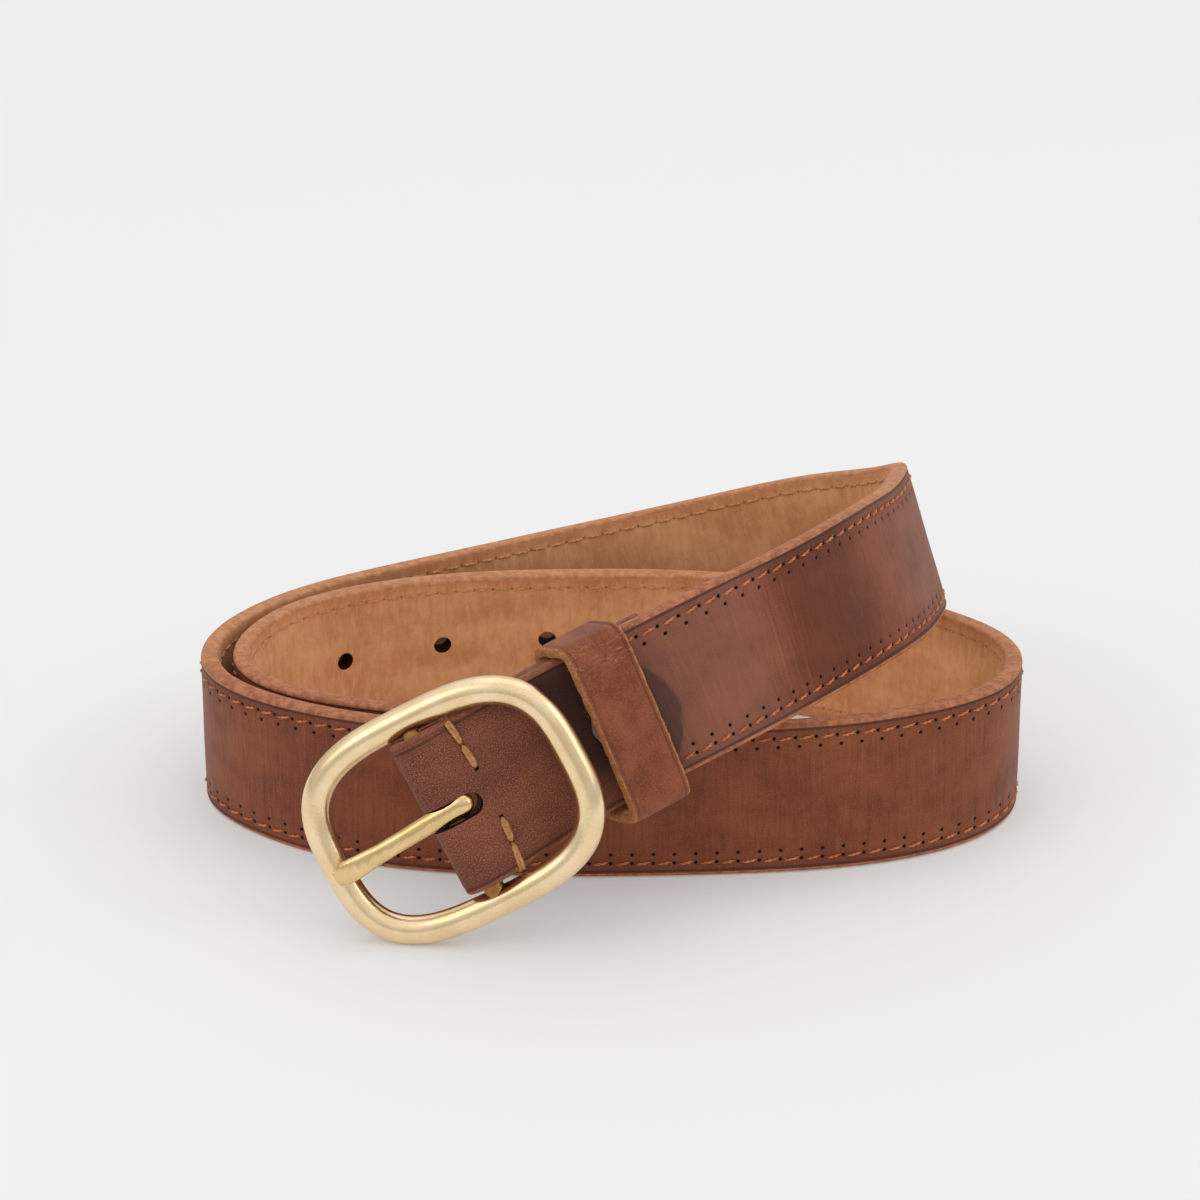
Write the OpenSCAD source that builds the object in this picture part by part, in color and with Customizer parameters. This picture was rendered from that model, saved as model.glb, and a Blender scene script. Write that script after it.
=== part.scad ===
// Coiled leather belt with a centre-bar buckle, standing on its lower edge.
// Units: millimetres.  +Z is up, the coil's long side runs along X, and the
// buckle hangs on the -Y side.  Every coil layer stands on z = 0 except the
// buckle end, which climbs over the coil and comes down again behind it.

/* [Strap] */
// Width of the strap, edge to edge
strap_w = 35; // [34:0.5:36]
// Thickness of the strap along the coil
strap_t = 4.2; // [3.8:0.1:4.4]
// Thickness of the skived end that folds round the buckle bar
fold_t = 3.1; // [2.8:0.1:3.3]
// Bevel on the four long edges of the strap
edge_bevel = 0.6; // [0.3:0.1:0.8]
// Length of the folded-back end, from the buckle bar
flap_len = 53; // [51:1:56]

/* [Adjusting holes] */
// Distance between neighbouring adjusting holes
hole_pitch = 26; // [24:0.5:27]
// Diameter of each adjusting hole
hole_d = 4.5; // [3.5:0.1:5]
// Distance along the strap from the buckle bar to the middle hole
middle_hole_at = 766.5; // [764:0.5:769]

/* [Buckle] */
// Half length of the buckle frame along the strap, to the wire's centre
frame_a = 28.5; // [28.2:0.1:28.8]
// Half height of the buckle frame along its bar, to the wire's centre
frame_b = 21.9; // [21.7:0.1:22.3]
// Radius of the buckle frame's corners, to the wire's centre
frame_corner = 18.5; // [18:0.5:19.5]
// Diameter of the frame's wire
wire_d = 6.2; // [6:0.1:6.3]
// Diameter of the centre bar
bar_d = 4.4; // [4.2:0.1:4.6]
// Angle between the frame and the strap at rest
frame_tilt = 20.5; // [20.5:0.5:22]
// Width of the tongue where it leaves the bar
tongue_w = 4.2; // [3.8:0.1:4.4]

/* [Keeper] */
// Distance along the strap from the buckle bar to the keeper's near edge, at its middle depth
keeper_at = 30.7; // [29.7:0.5:32.7]
// Width of the keeper band, measured along the strap
keeper_w = 13.5; // [13:0.1:16]
// Thickness of the keeper's leather
keeper_t = 2.2; // [2:0.1:2.4]
// Room between the strap's front and the keeper, for the tip to pass
keeper_room = 4.2; // [3.5:0.1:4.6]

/* [Fastenings] */
// Distance along the strap from the buckle bar to the screw
screw_at = 37.5; // [37:0.5:39]
// Diameter of the screw's flat heads
screw_head_d = 9; // [8:0.5:9.5]
// Distance from the strap's edge to its stitching
stitch_in = 3.2; // [3:0.1:3.6]
// Thickness of the waxed sewing thread
thread_d = 0.8; // [0.6:0.1:0.9]

/* [Hidden] */

// Shift that puts the whole belt over the origin
home = [-2.5, 59.8, 0.05];

leather = [0.45, 0.23, 0.15];
brass = [0.80, 0.66, 0.38];
thread_col = [0.72, 0.42, 0.20];
steel = [0.72, 0.73, 0.75];

// ---- The buckle's own frame: X along the strap, Y to its back, Z across it
strap_c = [-31.2, -126.5, 29.3];   // where the strap's middle line meets the buckle
swing = 19;                      // heading of the strap at the buckle
climb = 22;                      // slope of the strap at the buckle
lean = 14;                       // lean of the strap away from upright
function unit(v) = v/norm(v);
function rotx(v, a) = [v.x, v.y*cos(a) - v.z*sin(a), v.y*sin(a) + v.z*cos(a)];
function roty(v, a) = [v.x*cos(a) + v.z*sin(a), v.y, -v.x*sin(a) + v.z*cos(a)];
function rotz(v, a) = [v.x*cos(a) - v.y*sin(a), v.x*sin(a) + v.y*cos(a), v.z];
function turn(v) = rotz(roty(rotx(v, -lean), -climb), swing);
ax = turn([1, 0, 0]);
ay = turn([0, 1, 0]);
az = turn([0, 0, 1]);
function at(x, y, z) = strap_c + x*ax + y*ay + z*az;
module at_buckle() translate(strap_c + home) rotate([-lean, -climb, swing]) children();
// The bar hangs a little low and out of square, and the folded end follows it
bar_off = [-0.7, -2.43, -0.5];
roll = -7.3;
yaw = -3.9;
// The buckle frame, tilted about its bar
module at_frame() at_buckle() translate(bar_off) rotate([roll, yaw, -frame_tilt]) children();
// The folded end round the bar
module at_fold() at_frame() rotate([0, 0, frame_tilt]) children();
function fold_turn(v) = turn(rotz(roty(rotx(rotz(v, frame_tilt), roll), yaw), -frame_tilt));
fx = fold_turn([1, 0, 0]);
fy = fold_turn([0, 1, 0]);
fz = fold_turn([0, 0, 1]);
bar_c = strap_c + turn(bar_off);

// ---- The strap's route
gap = 0.15;                         // half the space between strap and flap
bar_gap = 0.35;                     // space between the leather and the bar
fold_r = bar_d/2 + bar_gap + fold_t/2;   // mid radius of the fold
flap_y = gap + fold_t/2;
flat_y = gap + strap_t/2;
ease = function (u) u <= 0 ? 0 : u >= 1 ? 1 : u*u*(3 - 2*u);
// Offsets of the two layers from the plane between them, x from the bar
function flap_off(x) = flap_y + (fold_r - flap_y)*ease(1 - x/13);
function front_t(x) = fold_t + (strap_t - fold_t)*ease(x/16);
function front_off(x) = gap + front_t(x)/2 + (fold_r - gap - fold_t/2)*ease(1 - x/13);

// Stations along the middle of the strap: x, y, z and the lean of its width
// (how far its top edge moves in x and in y for each millimetre of height)
join_x = 18;
// The strap bows up a little on its way from the buckle, and its twist from
// the folded end fades out along it
function rise(x) = 0.8 - 0.8*ease((x - 30)/46);
function blend(x) = ease(x/30);
function layer(x, y) = (1 - blend(x))*(bar_c + x*fx + y*fy) + blend(x)*at(x, y, rise(x));
function layer_up(x) = unit((1 - blend(x))*fz + blend(x)*az);
function layer_out(x) = let (u = layer_up(x), v = (1 - blend(x))*fy + blend(x)*ay) unit(v - (v*u)*u);
function straight(x) = let (p = layer(x, -flat_y), u = layer_up(x)) [p.x, p.y, p.z, u.x/u.z, u.y/u.z];
stations = [
    straight(join_x), straight(28), straight(39), straight(60),
    [39.5, -96, 56, -0.39, 0.08], [53, -80, 57, -0.36, 0.1],
    [63.5, -61.5, 55.7, -0.35, 0.18], [71, -40.5, 52.4, -0.31, 0.24],
    [75, -19, 49.2, -0.31, 0.24], [69.8, -1, 41.8, -0.29, 0.22],
    [52, 10.5, 35.2, -0.26, 0.19], [26.5, 14.5, 28, -0.22, 0.15],
    [-2, 12, 22.5, -0.17, 0.1], [-29, 5.3, 19, -0.1, 0.05],
    [-53.5, -5.5, 17.6, -0.04, 0.02], [-72.7, -19.5, 17.5, 0, 0],
    [-86, -39, 17.5, 0, 0], [-88.5, -59.5, 17.55, 0, -0.03],
    [-78.5, -76.5, 17.55, 0, -0.04], [-58.5, -90, 17.55, 0, 0.02],
    [-34, -97, 17.55, 0, 0.04], [-6, -99, 17.55, 0, 0.04],
    [24, -98, 17.55, 0, 0.04], [52, -94.5, 17.55, 0, 0.05],
    [75, -86, 17.55, 0, 0.06], [90, -72, 17.55, 0, 0.02],
    [94, -54, 17.5, 0, 0], [86.5, -37.5, 17.55, -0.01, -0.01],
    [68, -21.5, 17.55, -0.02, -0.03], [45, -10.5, 17.55, -0.02, -0.07],
    [19, -4.6, 17.55, -0.02, -0.11], [-8, -3.5, 17.55, 0, -0.14],
    [-34, -6.3, 17.55, 0.03, -0.12], [-58, -15.7, 17.55, 0.03, -0.05],
    [-75, -32.5, 17.55, -0.03, 0], [-81, -56, 17.55, -0.04, 0],
    [-71, -75, 17.55, -0.01, -0.01], [-49, -85.5, 17.5, 0, 0],
    [-24, -91, 17.5, 0, 0], [2, -93, 17.5, 0, 0]];
ns = len(stations);

// Cubic spline through the stations
function relax(p, k) = k == 0 ? p : relax([for (i = [0:ns-1])
    i == 0 || i == ns-1 ? stations[i] : (6*stations[i] - p[i-1] - p[i+1])/4], k - 1);
knots = let (c = relax(stations, 24)) concat([2*c[0] - c[1]], c, [2*c[ns-1] - c[ns-2]]);
function spline(i, u) = (knots[i]*pow(1-u, 3) + knots[i+1]*(3*pow(u, 3) - 6*u*u + 4)
    + knots[i+2]*(-3*pow(u, 3) + 3*u*u + 3*u + 1) + knots[i+3]*pow(u, 3))/6;
steps = 4;
route = concat([for (i = [0:ns-2], k = [0:steps-1]) spline(i, k/steps)], [spline(ns-2, 1)]);
nr = len(route);
function xyz(v) = [v[0], v[1], v[2]];

// A ring is [middle, across, outward, thickness, width, distance along]
function dir(i) = unit(xyz(route[min(i+1, nr-1)]) - xyz(route[max(i-1, 0)]));
function across(i) = let (t = dir(i), c = [route[i][3], route[i][4], 1]) unit(c - (c*t)*t);
run = [for (i = 0, a = join_x; i < nr; a = a + (i < nr-1 ? norm(xyz(route[i+1]) - xyz(route[i])) : 0), i = i + 1) a];
total = run[nr-1];
tip_r = 22;
function tip_w(s) = s < total - tip_r ? strap_w : max(6, strap_w*sqrt(1 - pow((s - total + tip_r)/tip_r, 2)*0.97));
tip_rings = [0.35, 0.6, 0.8, 0.93];
long_rings = [for (i = [0:nr-1]) let (t = dir(i), c = across(i))
    [xyz(route[i]) + flare(run[i])/2*c, c, cross(t, c), strap_t, tip_w(run[i]) + flare(run[i]), run[i]]];
// Folded end: flap from its cut end to the bar, round the bar, and out again
// The fold is worn a little wide at its upper edge
function flare(x) = 0.5*ease(1 - x/18);
flap_rings = [for (x = [flap_len, 48, 43, 38, 33, 29, 25, 21, 17.5, 15.5, 13, 10.5, 8.2, 6, 4, 2])
    [layer(x, flap_off(x)) + flare(x)/2*layer_up(x), layer_up(x), layer_out(x), fold_t, strap_w + flare(x), -x]];
bend_rings = [for (a = [90:15:270])
    [bar_c + fold_r*(cos(a)*fx + sin(a)*fy) + flare(0)/2*fz, fz, cos(a)*fx + sin(a)*fy, fold_t, strap_w + flare(0), 0]];
front_rings = [for (x = [2, 4, 6, 8.2, 10.5, 13, 15.5])
    [layer(x, -front_off(x)) + flare(x)/2*layer_up(x), layer_up(x), -layer_out(x), front_t(x), strap_w + flare(x), x]];
rings = concat(flap_rings, bend_rings, front_rings, long_rings);

// Ribbon of eight-cornered sections through a list of rings
function section(r, b) = let (w = r[4]/2, t = r[3]/2)
    [for (q = [[w-b, t], [w, t-b], [w, b-t], [w-b, -t], [b-w, -t], [-w, b-t], [-w, t-b], [b-w, t]])
        r[0] + home + q[0]*r[1] + q[1]*r[2]];
module sweep(pts, m) {
    n = len(pts);
    polyhedron(points = [for (p = pts, q = p) q],
        faces = concat([[for (k = [m-1:-1:0]) k]], [[for (k = [0:m-1]) (n-1)*m + k]],
            [for (i = [0:n-2], k = [0:m-1], h = [0, 1]) let (a = i*m + k, b = i*m + (k+1)%m)
                h == 0 ? [a, b, b+m] : [a, b+m, a+m]]),
        convexity = 12);
}

// The ring at a distance s along the strap, by straight interpolation
function seek(s, i) = i >= nr-2 || run[i+1] > s ? i : seek(s, i + 1);
function ring_at(s) = let (i = seek(s, 0), f = (s - run[i])/(run[i+1] - run[i]),
    a = long_rings[i], b = long_rings[i+1])
    [a[0]*(1-f) + b[0]*f, unit(a[1]*(1-f) + b[1]*f), unit(a[2]*(1-f) + b[2]*f)];
// Turns +Z to a ring's outward direction
module on_ring(s) {
    r = ring_at(s);
    n = r[2];
    translate(r[0] + home) rotate([0, acos(n.z), atan2(n.y, n.x)]) children();
}

slot_w = 5.4;
slot_end = 6.4;
stitch_x = 8.2;
stitch_z = [strap_w/2 + 0.42, 11.6, 5.8];   // the stitches of each half: round the edge, then two needle holes
// Turns to the strap's layers at a distance x from the bar, z from their middle
module on_layer(x) {
    u = layer_up(x);
    v = layer_out(x);
    w = cross(v, u);
    c = layer(x, 0) + home;
    multmatrix([[w.x, v.x, u.x, c.x], [w.y, v.y, u.y, c.y], [w.z, v.z, u.z, c.z]]) children();
}

module strap() {
    color(leather) difference() {
        sweep([for (r = rings) section(r, edge_bevel)], 8);
        // Slot for the tongue, through the fold and both layers beside it
        at_fold() translate([0, 12, 0]) rotate([90, 0, 0]) {
            translate([slot_end - slot_w/2, 0, 0]) cylinder(h = 24, d = slot_w, $fn = 32);
            translate([-12, -slot_w/2, 0]) cube([12 + slot_end - slot_w/2, slot_w, 24]);
        }
        // Adjusting holes
        for (k = [-2:2]) on_ring(middle_hole_at + k*hole_pitch)
            cylinder(h = 10, d = hole_d, center = true, $fn = 32);
        // Hole for the screw, through both layers
        at_buckle() translate([screw_at, 9, rise(screw_at)]) rotate([90, 0, 0]) cylinder(h = 18, d = 5.2, $fn = 32);
        // Needle holes beside the fold
        for (h = [-1, 1], k = [1, 2]) on_layer(stitch_x) translate([0, 9, h*stitch_z[k]])
            rotate([90, 0, 0]) cylinder(h = 18, d = 1.1, $fn = 16);
    }
}

// Straight piece of frame wire along the local x axis
module wire(len) rotate([0, 90, 0]) cylinder(h = len, d = wire_d, center = true, $fn = 32);
module buckle_frame() {
    a = frame_a - frame_corner;
    b = frame_b - frame_corner;
    color(brass) at_frame() difference() {
        union() {
            for (s = [-1, 1]) {
                translate([0, 0, s*frame_b]) wire(2*a);
                translate([s*frame_a, 0, 0]) rotate([0, 90, 0]) wire(2*b);
            }
            for (q = [0:3]) {
                sx = q == 0 || q == 3 ? 1 : -1;
                sz = q < 2 ? 1 : -1;
                translate([sx*a, 0, sz*b]) rotate([90, 0, 0]) rotate([0, 0, q*90])
                    rotate_extrude(angle = 90, $fn = 64) translate([frame_corner, 0]) circle(d = wire_d, $fn = 32);
            }
        }
        // Seats for the ends of the bar
        cylinder(h = 2*frame_b + wire_d + 2, d = bar_d, center = true, $fn = 48);
    }
}

module buckle_bar() {
    color(brass) at_frame() cylinder(h = 2*frame_b + wire_d - 0.4, d = bar_d, center = true, $fn = 48);
}

// Tongue: an eye round the bar, a round shank and a flattened tip that lies
// on the frame's far side
eye_r = 3.9;
tongue_yaw = -4;
module buckle_tongue() {
    y0 = -wire_d/2 - 2.2;
    color(brass) at_frame() difference() {
        union() {
            cylinder(h = tongue_w, r = eye_r, center = true, $fn = 48);
            rotate([0, tongue_yaw, 0]) {
                hull() for (p = [[3.35, -3.2], [-2, -3.55]]) translate([p.x, p.y, 0]) sphere(d = tongue_w - 0.4, $fn = 32);
                translate([-1, -3.5, 0]) rotate([0, 0, 183.5]) rotate([0, 90, 0]) cylinder(h = 18, d = tongue_w - 0.4, $fn = 32);
                hull() {
                    translate([-18.8, -4.6, 0]) sphere(d = tongue_w - 0.5, $fn = 24);
                    translate([-23.6, y0 + 0.6, 0]) rotate([90, 0, 0]) cylinder(h = 2.4, d = 5.4, center = true, $fn = 32);
                }
                hull() {
                    translate([-23.6, y0 + 0.6, 0]) rotate([90, 0, 0]) cylinder(h = 2.4, d = 5.4, center = true, $fn = 32);
                    translate([-26.2, y0 + 0.6, 0]) rotate([90, 0, 0]) cylinder(h = 1.6, d = 4.8, center = true, $fn = 32);
                }
            }
        }
        cylinder(h = 12, d = bar_d + 0.1, center = true, $fn = 48);
    }
}

// Keeper: a flat leather loop round the strap and its folded end
keeper_in_z = strap_w + 2;
keeper_skew = 0.25;                 // how far the front leans along the strap
keeper_lean = 0.045;                // and its lower edge, towards the buckle
module keeper() {
    front = -(2*gap + strap_t + keeper_room);
    back = 2*gap + fold_t + 0.5;
    d = back - front;
    color(leather) at_keeper() rotate([0, 90, 0])
        linear_extrude(height = keeper_w) difference() {
            translate([0, front + d/2]) rounded(keeper_in_z + 2*keeper_t, d + 2*keeper_t, 3.4);
            translate([0, front + d/2]) rounded(keeper_in_z, d, 0.9);
        }
}
// Skewed along the strap, near edge at x = 0, middle of the band at z = 0
module at_keeper() at_buckle() translate([keeper_at, 0, 0.3])
    multmatrix([[1, -keeper_skew, keeper_lean, 0], [0, 1, 0, 0], [0, 0, 1, 0]]) children();
module rounded(x, y, r) {
    square([x - 2*r, y], center = true);
    square([x, y - 2*r], center = true);
    for (i = [-1, 1], j = [-1, 1]) translate([i*(x/2 - r), j*(y/2 - r)]) circle(r = r, $fn = 32);
}

// Staple that closes the keeper at its back
module keeper_staple() {
    back = 2*gap + fold_t + 0.5 + keeper_t;
    color(steel) at_keeper() translate([keeper_w/2, back + 0.45, 0])
        for (x = [-4, 4]) translate([x, 0, 0]) cylinder(h = 9, d = 0.8, center = true, $fn = 16);
}

// Two-part screw through both layers: a post from the back, a screw in front
module screw_post() {
    back = 2*gap + fold_t;
    color(steel) at_buckle() translate([screw_at, 0, rise(screw_at)]) rotate([90, 0, 0]) difference() {
        union() {
            translate([0, 0, -back - 0.45]) cylinder(h = 0.45 - 0.05, d = screw_head_d, $fn = 48);
            translate([0, 0, -back - 0.1]) cylinder(h = 6.5, d = 5, $fn = 32);
        }
        translate([0, 0, -back + 1.2]) cylinder(h = 8, d = 3.1, $fn = 32);
    }
}
module screw() {
    face = gap*2 + strap_t + 0.1;
    color(steel) at_buckle() translate([screw_at, 0, rise(screw_at)]) rotate([90, 0, 0]) difference() {
        union() {
            translate([0, 0, face]) cylinder(h = 1.2, d = screw_head_d, $fn = 48);
            translate([0, 0, face - 4]) cylinder(h = 4.1, d = 3, $fn = 32);
        }
        translate([-screw_head_d, -0.5, face + 0.7]) cube([2*screw_head_d, 1, 1]);
    }
}

// One row of edge stitching along one face, from the keeper to the tip
stitch_from = 45;
stitch_to = total - 30;
module thread_row(side, face) {
    h = strap_t/2 + 0.08;
    v = strap_w/2 - stitch_in;
    from = face > 0 ? stitch_from : flap_len + 8;
    sweep([for (i = [0:nr-1]) if (run[i] > from && run[i] < stitch_to)
        let (r = long_rings[i], m = r[0] + home + side*v*r[1])
        [for (q = face > 0 ? [[-thread_d/2, h], [-thread_d/4, h + 0.25], [thread_d/4, h + 0.25], [thread_d/2, h]]
                           : [[thread_d/2, -h], [thread_d/4, -h - 0.25], [-thread_d/4, -h - 0.25], [-thread_d/2, -h]])
            m + q[0]*r[1] + q[1]*r[2]]], 4);
}
module edge_thread_upper() color(thread_col) { thread_row(1, 1); thread_row(1, -1); }
module edge_thread_lower() color(thread_col) { thread_row(-1, 1); thread_row(-1, -1); }

// Heavy stitches beside the fold, front and back, round the edge and through
// the needle holes
module fold_thread(half) {
    front = front_off(stitch_x) + front_t(stitch_x)/2;
    back = flap_off(stitch_x) + fold_t/2;
    wide = half > 0 ? flare(stitch_x) : 0;
    on_layer(stitch_x) {
        for (z = [stitch_z[0] + wide, stitch_z[1], stitch_z[2]]) translate([0, back + 0.1 + thread_d/2, half*z])
            rotate([90, 0, 0]) cylinder(h = front + back + 0.2 + thread_d, d = thread_d*0.9, $fn = 16);
        for (y = [-front - 0.1 - thread_d/2, back + 0.1 + thread_d/2], k = [0, 1])
            let (out = k == 0 ? wide : 0) translate([0, y, half*(stitch_z[k] + out + stitch_z[k+1])/2])
                cylinder(h = stitch_z[k] + out - stitch_z[k+1] + 0.3, d = thread_d, center = true, $fn = 16);
    }
}
module fold_thread_upper() color(thread_col) fold_thread(1);
module fold_thread_lower() color(thread_col) fold_thread(-1);

strap();
buckle_frame();
buckle_bar();
buckle_tongue();
keeper();
keeper_staple();
screw_post();
screw();
edge_thread_upper();
edge_thread_lower();
fold_thread_upper();
fold_thread_lower();
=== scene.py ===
import math

import bpy
import numpy as np
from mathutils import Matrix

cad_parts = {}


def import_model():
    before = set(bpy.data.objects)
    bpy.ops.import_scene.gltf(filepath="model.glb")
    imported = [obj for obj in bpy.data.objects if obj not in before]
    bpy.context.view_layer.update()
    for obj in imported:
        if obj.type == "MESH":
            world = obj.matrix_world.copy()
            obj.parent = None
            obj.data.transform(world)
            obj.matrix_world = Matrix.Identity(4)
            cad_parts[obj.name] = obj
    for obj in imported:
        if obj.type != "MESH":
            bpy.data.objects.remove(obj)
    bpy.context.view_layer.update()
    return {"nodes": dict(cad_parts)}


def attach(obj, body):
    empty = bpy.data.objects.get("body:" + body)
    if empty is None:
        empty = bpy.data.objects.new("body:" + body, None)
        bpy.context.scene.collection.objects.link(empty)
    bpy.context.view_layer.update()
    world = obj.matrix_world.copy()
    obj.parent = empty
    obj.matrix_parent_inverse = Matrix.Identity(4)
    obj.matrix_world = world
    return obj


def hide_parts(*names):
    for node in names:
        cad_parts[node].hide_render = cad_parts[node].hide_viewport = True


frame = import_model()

MM = 0.001
rng = np.random.default_rng(7)

# ---------------------------------------------------------------- sizes, mm
STRAP_W, STRAP_T, FOLD_T = 35.0, 4.2, 3.1
EDGE_R = 0.9
FLAP = 53.0
GAP, BAR_D = 0.15, 4.4
FOLD_R = BAR_D / 2 + 0.35 + FOLD_T / 2
JOIN = 18.0
HOLE_PITCH, HOLE_D, MIDDLE_HOLE = 26.0, 4.3, 766.5
PITCH, S0 = 4.66, 45.65
ROW1, ROW2, SHIFT2, SHIFT_LOW = 3.2, 5.3, 0.9, 1.65
CREASE = 1.32
SCREW_AT = 37.5
STITCH_Z = (11.6, 5.8)
SLOT_W, SLOT_END = 5.0, 6.3
TILT, ROLL, YAW = 20.5, -7.3, -3.9
RING_A, RING_B, RING_N, WIRE_R = 28.47, 21.86, 3.1, 3.14
KEEP_AT, KEEP_W, KEEP_T, KEEP_ROOM, KEEP_Z, KEEP_SKEW = 30.7, 13.5, 2.2, 4.2, 0.3, 0.25
KEEP_LEAN = 0.045
HOME = np.array([-2.5, 59.8, 0.05])
STRAP_C = np.array([-31.2, -126.5, 29.3])
BAR_OFF = np.array([-0.7, -2.43, -0.5])


def rot(axis, deg):
    a = math.radians(deg)
    c, s = math.cos(a), math.sin(a)
    if axis == "x":
        return np.array([[1, 0, 0], [0, c, -s], [0, s, c]])
    if axis == "y":
        return np.array([[c, 0, s], [0, 1, 0], [-s, 0, c]])
    return np.array([[c, -s, 0], [s, c, 0], [0, 0, 1]])


R_BUCKLE = rot("z", 19) @ rot("y", -22) @ rot("x", -14)
R_FRAME = R_BUCKLE @ rot("z", -TILT) @ rot("y", YAW) @ rot("x", ROLL)
R_FOLD = R_FRAME @ rot("z", TILT)
AX, AY, AZ = R_BUCKLE.T
FX, FY, FZ = R_FOLD.T
BAR_C = STRAP_C + R_BUCKLE @ BAR_OFF


def at(x, y, z):
    return STRAP_C + x * AX + y * AY + z * AZ


def world(p):
    """Route millimetres to the row frame in metres."""
    return (np.asarray(p) + HOME) * MM


def in_buckle(p):
    return world(np.asarray(p) @ R_BUCKLE.T + STRAP_C)


def in_frame(p):
    return world(np.asarray(p) @ R_FRAME.T + BAR_C)


# ------------------------------------------------------------- strap's route
def ease(u):
    u = np.clip(u, 0, 1)
    return u * u * (3 - 2 * u)


def unit(v):
    return v / np.linalg.norm(v, axis=-1, keepdims=True)


def rise(x):
    return 0.8 - 0.8 * ease((x - 30) / 46)


def flare(x):
    return 0.8 * ease(1 - np.abs(x) / 18)


def layer(x, y):
    """Point between the buckle's own frame at x = 0 and the strap's from x = 30 on."""
    x, y = np.broadcast_arrays(np.asarray(x, float), np.asarray(y, float))
    k = ease(x / 30)[..., None]
    x, y = x[..., None], y[..., None]
    return (1 - k) * (BAR_C + x * FX + y * FY) + k * (STRAP_C + x * AX + y * AY + rise(x) * AZ)


def layer_up(x):
    k = ease(np.asarray(x, float) / 30)[..., None]
    return unit((1 - k) * FZ + k * AZ)


def layer_out(x):
    k = ease(np.asarray(x, float) / 30)[..., None]
    u, v = layer_up(x), (1 - k) * FY + k * AY
    return unit(v - (v * u).sum(-1, keepdims=True) * u)


def straight(x):
    p, u = layer(x, -(GAP + STRAP_T / 2)), layer_up(x)
    return [p[0], p[1], p[2], u[0] / u[2], u[1] / u[2]]


ST = np.array([
    straight(JOIN), straight(28), straight(39), straight(60),
    [39.5, -96, 56, -0.39, 0.08], [53, -80, 57, -0.36, 0.1],
    [63.5, -61.5, 55.7, -0.35, 0.18], [71, -40.5, 52.4, -0.31, 0.24],
    [75, -19, 49.2, -0.31, 0.24], [69.8, -1, 41.8, -0.29, 0.22],
    [52, 10.5, 35.2, -0.26, 0.19], [26.5, 14.5, 28, -0.22, 0.15],
    [-2, 12, 22.5, -0.17, 0.1], [-29, 5.3, 19, -0.1, 0.05],
    [-53.5, -5.5, 17.6, -0.04, 0.02], [-72.7, -19.5, 17.5, 0, 0],
    [-86, -39, 17.5, 0, 0], [-88.5, -59.5, 17.55, 0, -0.03],
    [-78.5, -76.5, 17.55, 0, -0.04], [-58.5, -90, 17.55, 0, 0.02],
    [-34, -97, 17.55, 0, 0.04], [-6, -99, 17.55, 0, 0.04],
    [24, -98, 17.55, 0, 0.04], [52, -94.5, 17.55, 0, 0.05],
    [75, -86, 17.55, 0, 0.06], [90, -72, 17.55, 0, 0.02],
    [94, -54, 17.5, 0, 0], [86.5, -37.5, 17.55, -0.01, -0.01],
    [68, -21.5, 17.55, -0.02, -0.03], [45, -10.5, 17.55, -0.02, -0.07],
    [19, -4.6, 17.55, -0.02, -0.11], [-8, -3.5, 17.55, 0, -0.14],
    [-34, -6.3, 17.55, 0.03, -0.12], [-58, -15.7, 17.55, 0.03, -0.05],
    [-75, -32.5, 17.55, -0.03, 0], [-81, -56, 17.55, -0.04, 0],
    [-71, -75, 17.55, -0.01, -0.01], [-49, -85.5, 17.5, 0, 0],
    [-24, -91, 17.5, 0, 0], [2, -93, 17.5, 0, 0]], float)
NS = len(ST)
ctrl = ST.copy()
for _ in range(24):
    new = ctrl.copy()
    new[1:-1] = (6 * ST[1:-1] - ctrl[:-2] - ctrl[2:]) / 4
    ctrl = new
ctrl = np.vstack([2 * ctrl[0] - ctrl[1], ctrl, 2 * ctrl[-1] - ctrl[-2]])


def spline(q):
    """Station parameter 0..NS-1 to x, y, z and the two leans."""
    q = np.clip(np.asarray(q, float), 0, NS - 1)
    i = np.minimum(q.astype(int), NS - 2)
    u = (q - i)[:, None]
    return (ctrl[i] * (1 - u) ** 3 + ctrl[i + 1] * (3 * u ** 3 - 6 * u * u + 4)
            + ctrl[i + 2] * (-3 * u ** 3 + 3 * u * u + 3 * u + 1) + ctrl[i + 3] * u ** 3) / 6


q_cad = np.arange(4 * (NS - 1) + 1) / 4
p_cad = spline(q_cad)[:, :3]
RUN = JOIN + np.concatenate([[0], np.cumsum(np.linalg.norm(np.diff(p_cad, axis=0), axis=1))])
TOTAL = RUN[-1]
BEND = math.pi * FOLD_R


def thick(s):
    return np.where(s < 0, FOLD_T, FOLD_T + (STRAP_T - FOLD_T) * ease(s / 16))


def centre(s):
    """Middle of the leather at s: below -BEND the flap, then the bend, the front and the coil."""
    s = np.asarray(s, float)
    out = np.zeros((len(s), 3))
    a = s < -BEND
    x = -(s[a] + BEND)
    flap_y = GAP + FOLD_T / 2
    out[a] = layer(x, flap_y + (FOLD_R - flap_y) * ease(1 - x / 13))
    a = (s >= -BEND) & (s < 0)
    g = np.radians(270 + s[a] / BEND * 180)
    out[a] = BAR_C + FOLD_R * (np.cos(g)[:, None] * FX + np.sin(g)[:, None] * FY)
    a = (s >= 0) & (s < JOIN)
    x = s[a]
    off = GAP + thick(x) / 2 + (FOLD_R - GAP - FOLD_T / 2) * ease(1 - x / 13)
    out[a] = layer(x, -off)
    a = s >= JOIN
    out[a] = spline(np.interp(s[a], RUN, q_cad))[:, :3]
    return out


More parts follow.
